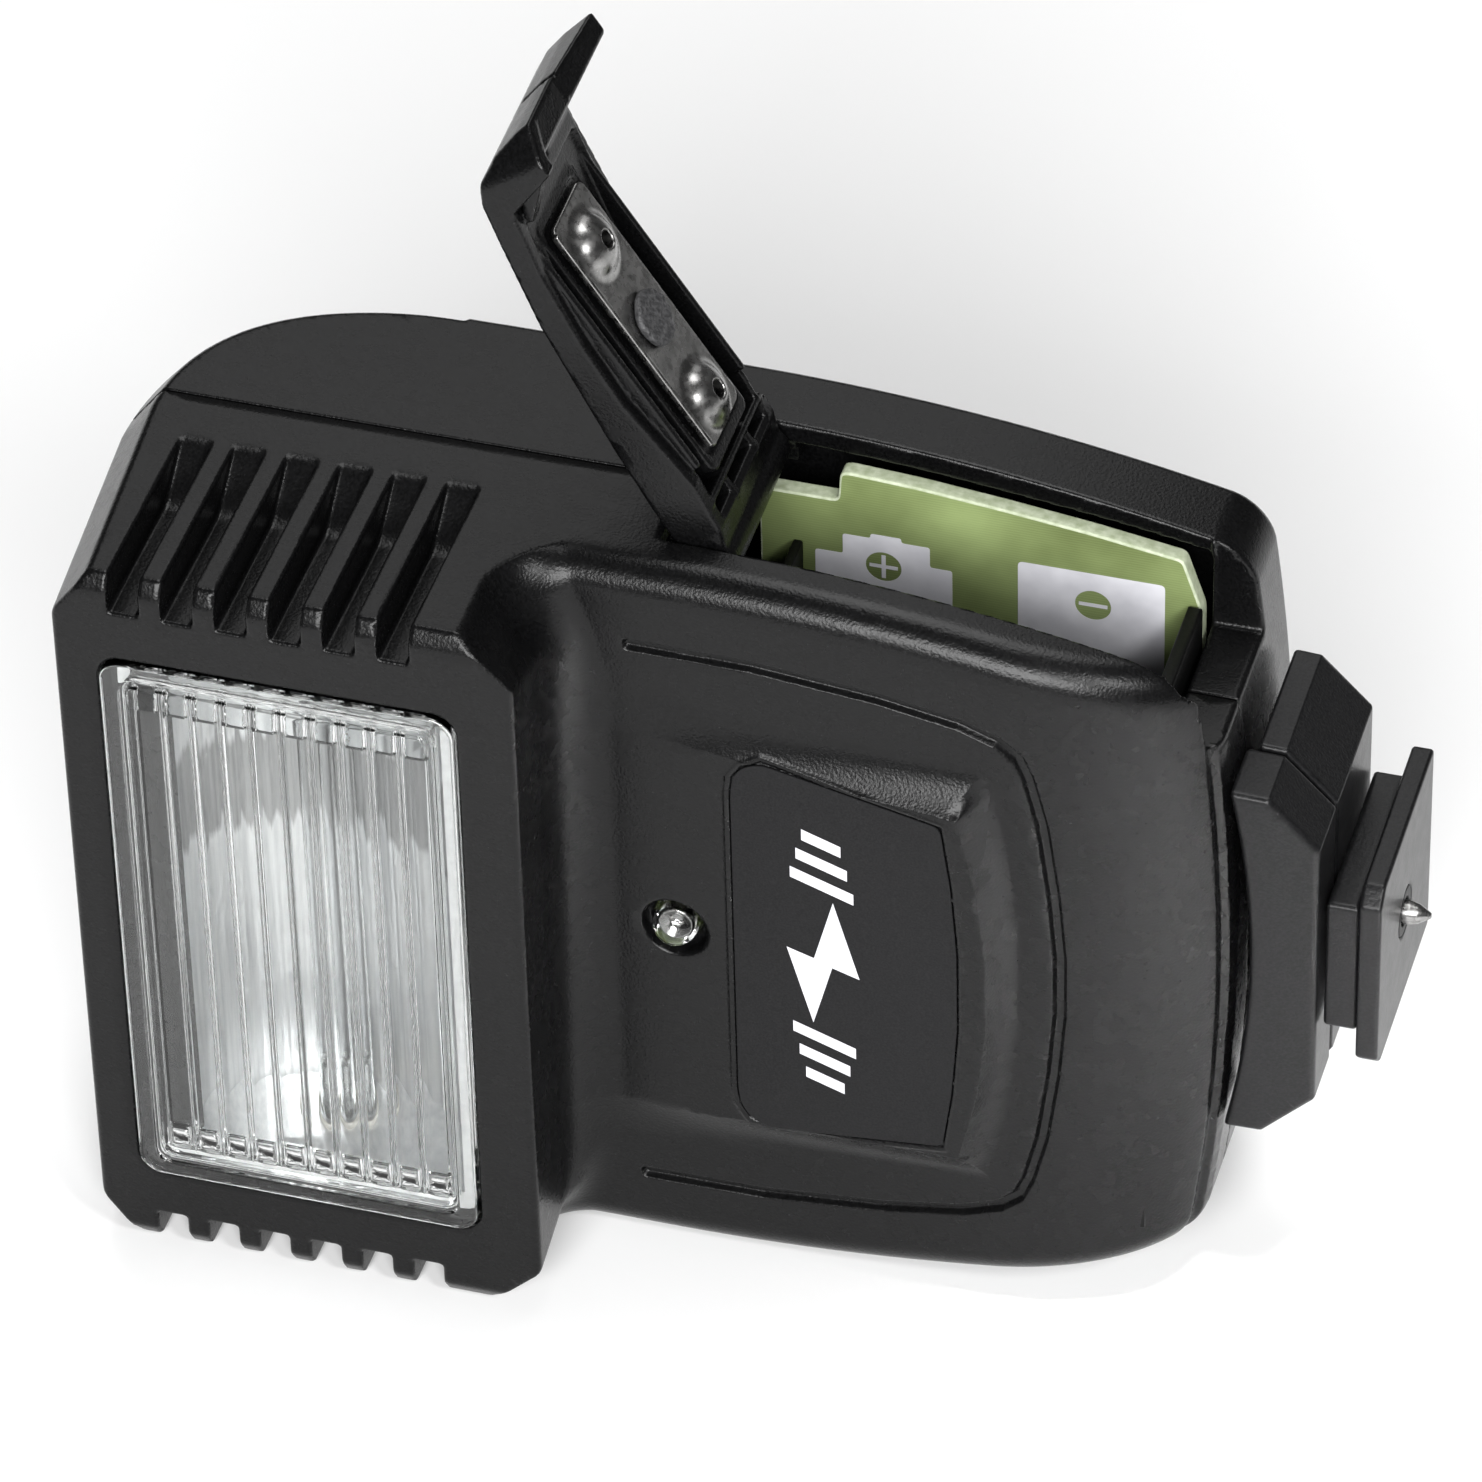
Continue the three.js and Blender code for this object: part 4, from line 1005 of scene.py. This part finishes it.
BOARD_EDGE = plain("board_edge", (0.34, 0.39, 0.25), (0.52, 0.57, 0.42), 0.6, 1500.0, 0.00003)
INK = plain("white_ink", (0.58, 0.58, 0.62), (0.72, 0.72, 0.76), 0.45, 300.0)
LAMP = plain("lamp_red", (0.45, 0.05, 0.02), (0.62, 0.09, 0.03), 0.2, 300.0)
STAKE = plain("stake_black", (0.008, 0.008, 0.009), (0.05, 0.05, 0.052), 0.42, 2600.0, 0.00008)


def dress(obj, material, body, slot, *nodes):
    """Gives a new piece its finish and body, and hides the CAD nodes that it stands for; the slot argument is
    not used.
    """
    if not obj.data.materials:
        obj.data.materials.append(material)
    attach(obj, body)
    if nodes:
        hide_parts(*nodes)
    return obj


def keep(node, material, width=0.00015):
    """Shows a CAD node as it is, with softened edges and a finish."""
    obj = NODES[node]
    obj.data.materials.clear()
    obj.data.materials.append(material)
    obj.data.polygons.foreach_set("use_smooth", [True] * len(obj.data.polygons))
    obj.modifiers.new("weld", "WELD").merge_threshold = 1e-6
    bevel = obj.modifiers.new("edge", "BEVEL")
    bevel.width, bevel.segments, bevel.limit_method, bevel.angle_limit = width, 2, "ANGLE", math.radians(40)
    bevel.harden_normals = True


HOUSING = frame["record"]["behaviour"]["joints"][0]["parent"]

dress(front_shell(), SHELL, HOUSING, "shell_black", "front_shell")
dress(rear_shell(), SHELL, HOUSING, "shell_black", "rear_shell")
dress(battery_door(), SHELL, "door", "shell_black", "battery_door")
dress(foot_block_front(), FOOT, HOUSING, "foot_black", "foot_block_front")
dress(foot_block_rear(), FOOT, HOUSING, "foot_black", "foot_block_rear")
dress(foot_neck(), FOOT, HOUSING, "foot_black", "foot_neck")
dress(foot_plate(), FOOT, HOUSING, "foot_black", "foot_plate")
dress(window_lens(), LENS, HOUSING, "clear_plastic", "window_lens")
dress(label_plate(), LABEL_FACE, HOUSING, "label_black", "label_plate")
dress(label_mark(), INK, HOUSING, "label_black")
dress(door_contact_plate(), NICKEL, "door", "nickel", "door_contact_plate")
dress(door_rivet(), STAKE, "door", "inner_black", "door_rivet")
dress(reflector(), MIRROR, HOUSING, "reflector_metal", "reflector")
dress(reflector_rim(), RIM_BRIGHT, HOUSING, "reflector_metal")
dress(power_switch(), INNER, "switch", "inner_black", "power_switch")
for i, (sx, sz) in enumerate(SCREWS, 1):
    dress(screw(i, sx, sz), STEEL, HOUSING, "steel", f"housing_screw_{i}")

panel = board()
panel.data.materials.append(BOARD)
panel.data.materials.append(BOARD_EDGE)
dress(panel, BOARD, HOUSING, "board_green", "circuit_board")
for mark in board_prints():
    dress(mark, INK, HOUSING, "board_green")

TUBE_PROFILE = [(1.4, -27.4), (2, -27.4), (2, 27.4), (1.4, 27.4)]
DOME_PROFILE = [(0, 9.05), (0.75, 9.12), (1.35, 9.45), (1.72, 10.05), (1.85, 10.8), (1.85, 13.2), (0, 13.2)]
CUP_PROFILE = [(0, 11.3), (0.35, 11.2), (0.4, 11.0), (0.9, 10.75), (1.0, 10.9), (0.6, 12.9), (0, 12.9)]
PIN_PROFILE = [(0, 89), (1.9, 89), (1.9, 90.6), (1, 90.8), (1, 96.8), (0.8, 97.6), (0.22, PIN_TIP),
               (0, PIN_TIP)]
COLLAR_PROFILE = [(1.25, -1.08), (2.08, -1.08), (2.08, 1.08), (1.25, 1.08)]
BUTTON_PROFILE = [(0, 34.6), (3.9, 34.6), (3.9, 35.4), (3.2, 35.5), (3.2, 38.2), (2.8, 38.6), (1.2, 38.45),
                  (0, 38.4)]
LAMP_PROFILE = [(0, 34.8), (1.6, 34.8), (1.6, 37.9), (1.1, 38.4), (0, 38.55)]

tube = lathe("flash_tube_glass", "z", (TUBE_X, TUBE_Y, 0), TUBE_PROFILE, 0.2, True)
dome = lathe("sensor_dome_lens", "y", (LED_X, 0, 0), DOME_PROFILE, 0.25)
cup = lathe("sensor_cup", "y", (LED_X, 0, 0), CUP_PROFILE, 0.08)
pin = lathe("contact_pin_turned", "x", (0, PIN_Y, 0), PIN_PROFILE, 0.12)
collar = lathe("contact_collar_ring", "x", (95.4, PIN_Y, 0), COLLAR_PROFILE, 0.15, True)
cap = lathe("test_button_cap", "y", (BUTTON_X, 0, 0), BUTTON_PROFILE, 0.3)
lamp = lathe("ready_lamp_cap", "y", (LAMP_X, 0, 0), LAMP_PROFILE, 0.4)
dress(tube, GLASS, HOUSING, "tube_glass", "flash_tube")
dress(dome, LENS, HOUSING, "clear_plastic", "sensor_dome")
dress(cup, NICKEL, HOUSING, "nickel")
dress(pin, NICKEL, "contact", "nickel", "contact_pin")
dress(collar, INNER, HOUSING, "inner_black", "contact_collar")
dress(cap, INNER, "button", "inner_black", "test_button")
dress(lamp, LAMP, HOUSING, "lamp_red", "ready_lamp")

keep("battery_tray", INNER, 0.0002)
keep("cell_spring", NICKEL, 0.00002)
keep("spring_plate", NICKEL, 0.00005)
keep("button_plate", NICKEL, 0.00005)
keep("hinge_pin", STEEL)
keep("contact_spring", NICKEL, 0.00002)
keep("sensor_board", BOARD, 0.0001)
keep("flash_capacitor", SLEEVE, 0.0003)
keep("trigger_coil", COPPER)
keep("transformer_core", FERRITE, 0.0003)
keep("transformer_winding", COPPER, 0.0003)
for end in ("upper", "lower"):
    keep(f"tube_electrode_{end}", STEEL, 0.0001)
    keep(f"tube_grommet_{end}", RUBBER)


# ---- floor, light and camera
def floor():
    mesh = bpy.data.meshes.new("floor")
    half, count, below = 6.0, 12, 0.0002
    points = [(half * (2 * i / count - 1), half * (2 * j / count - 1), -below) for j in range(count + 1)
              for i in range(count + 1)]
    row = count + 1
    faces = [(j * row + i, j * row + i + 1, (j + 1) * row + i + 1, (j + 1) * row + i) for j in range(count)
             for i in range(count)]
    mesh.from_pydata(points, [], faces)
    f = Finish("floor_white", Specular_IOR_Level=0.1)
    f.drive("Base Color", f.tones(f.noise(2.0), (0.88, 0.88, 0.88), (0.92, 0.92, 0.92)))
    f.drive("Roughness", f.spread(f.noise(3.0), 0.85, 0.95))
    mesh.materials.append(f.material)
    link("floor", mesh)


def softbox(name, place, aim, wide, tall, power, spread=180.0):
    """Area light: places and sizes in metres, power in watts, spread in degrees."""
    light = bpy.data.lights.new(name, "AREA")
    light.spread = math.radians(spread)
    light.shape, light.size, light.size_y, light.energy = "RECTANGLE", wide, tall, power
    obj = link(name, light)
    obj.location = place
    obj.rotation_mode = "QUATERNION"
    obj.rotation_quaternion = (Vector(aim) - Vector(place)).to_track_quat("-Z", "Y")


CAMERA_AT = (0.162538, -0.534379, 0.541396)
CAMERA_AZIMUTH, CAMERA_ELEVATION, CAMERA_ROLL = 17.075, 41.442, -1.553
CAMERA_LENS = 231.35


def camera():
    """Long lens from the front right and above, turned slightly about its axis."""
    data = bpy.data.cameras.new("camera")
    data.sensor_width, data.lens = 36.0, CAMERA_LENS
    data.clip_start, data.clip_end = 0.05, 30
    az, el, roll = map(math.radians, (CAMERA_AZIMUTH, CAMERA_ELEVATION, CAMERA_ROLL))
    back = Vector((math.sin(az) * math.cos(el), -math.cos(az) * math.cos(el), math.sin(el)))
    right = Vector((math.cos(az), math.sin(az), 0))
    up = back.cross(right)
    tilt_right = right * math.cos(roll) + up * math.sin(roll)
    tilt_up = up * math.cos(roll) - right * math.sin(roll)
    obj = link("camera", data)
    turn = Matrix((tilt_right, tilt_up, back)).transposed().to_4x4()
    obj.matrix_world = Matrix.Translation(CAMERA_AT) @ turn
    bpy.context.scene.camera = obj


floor()
softbox("back", (-0.22, 0.78, 0.72), (0.0, 0.0, 0.05), 0.7, 0.5, 1.5)
softbox("overhead", (0.02, 0.28, 0.95), (0.05, 0.25, 0.0), 0.5, 0.5, 4.4)
softbox("front", (0.14, -0.79, 0.50), (0.0, 0.0, 0.04), 0.6, 0.38, 13.5)
softbox("right", (0.40, -0.34, 0.52), (0.05, -0.03, 0.03), 0.13, 0.13, 1.6)
softbox("pool", (0.11, -0.08, 0.40), (0.085, -0.05, 0.0), 0.05, 0.05, 0.06, 20.0)
camera()

world = bpy.data.worlds.new("studio")
world.use_nodes = True
world.node_tree.nodes["Background"].inputs["Color"].default_value = (1, 1, 1, 1)
world.node_tree.nodes["Background"].inputs["Strength"].default_value = 0.08
bpy.context.scene.world = world
bpy.context.scene.view_settings.view_transform = "Standard"
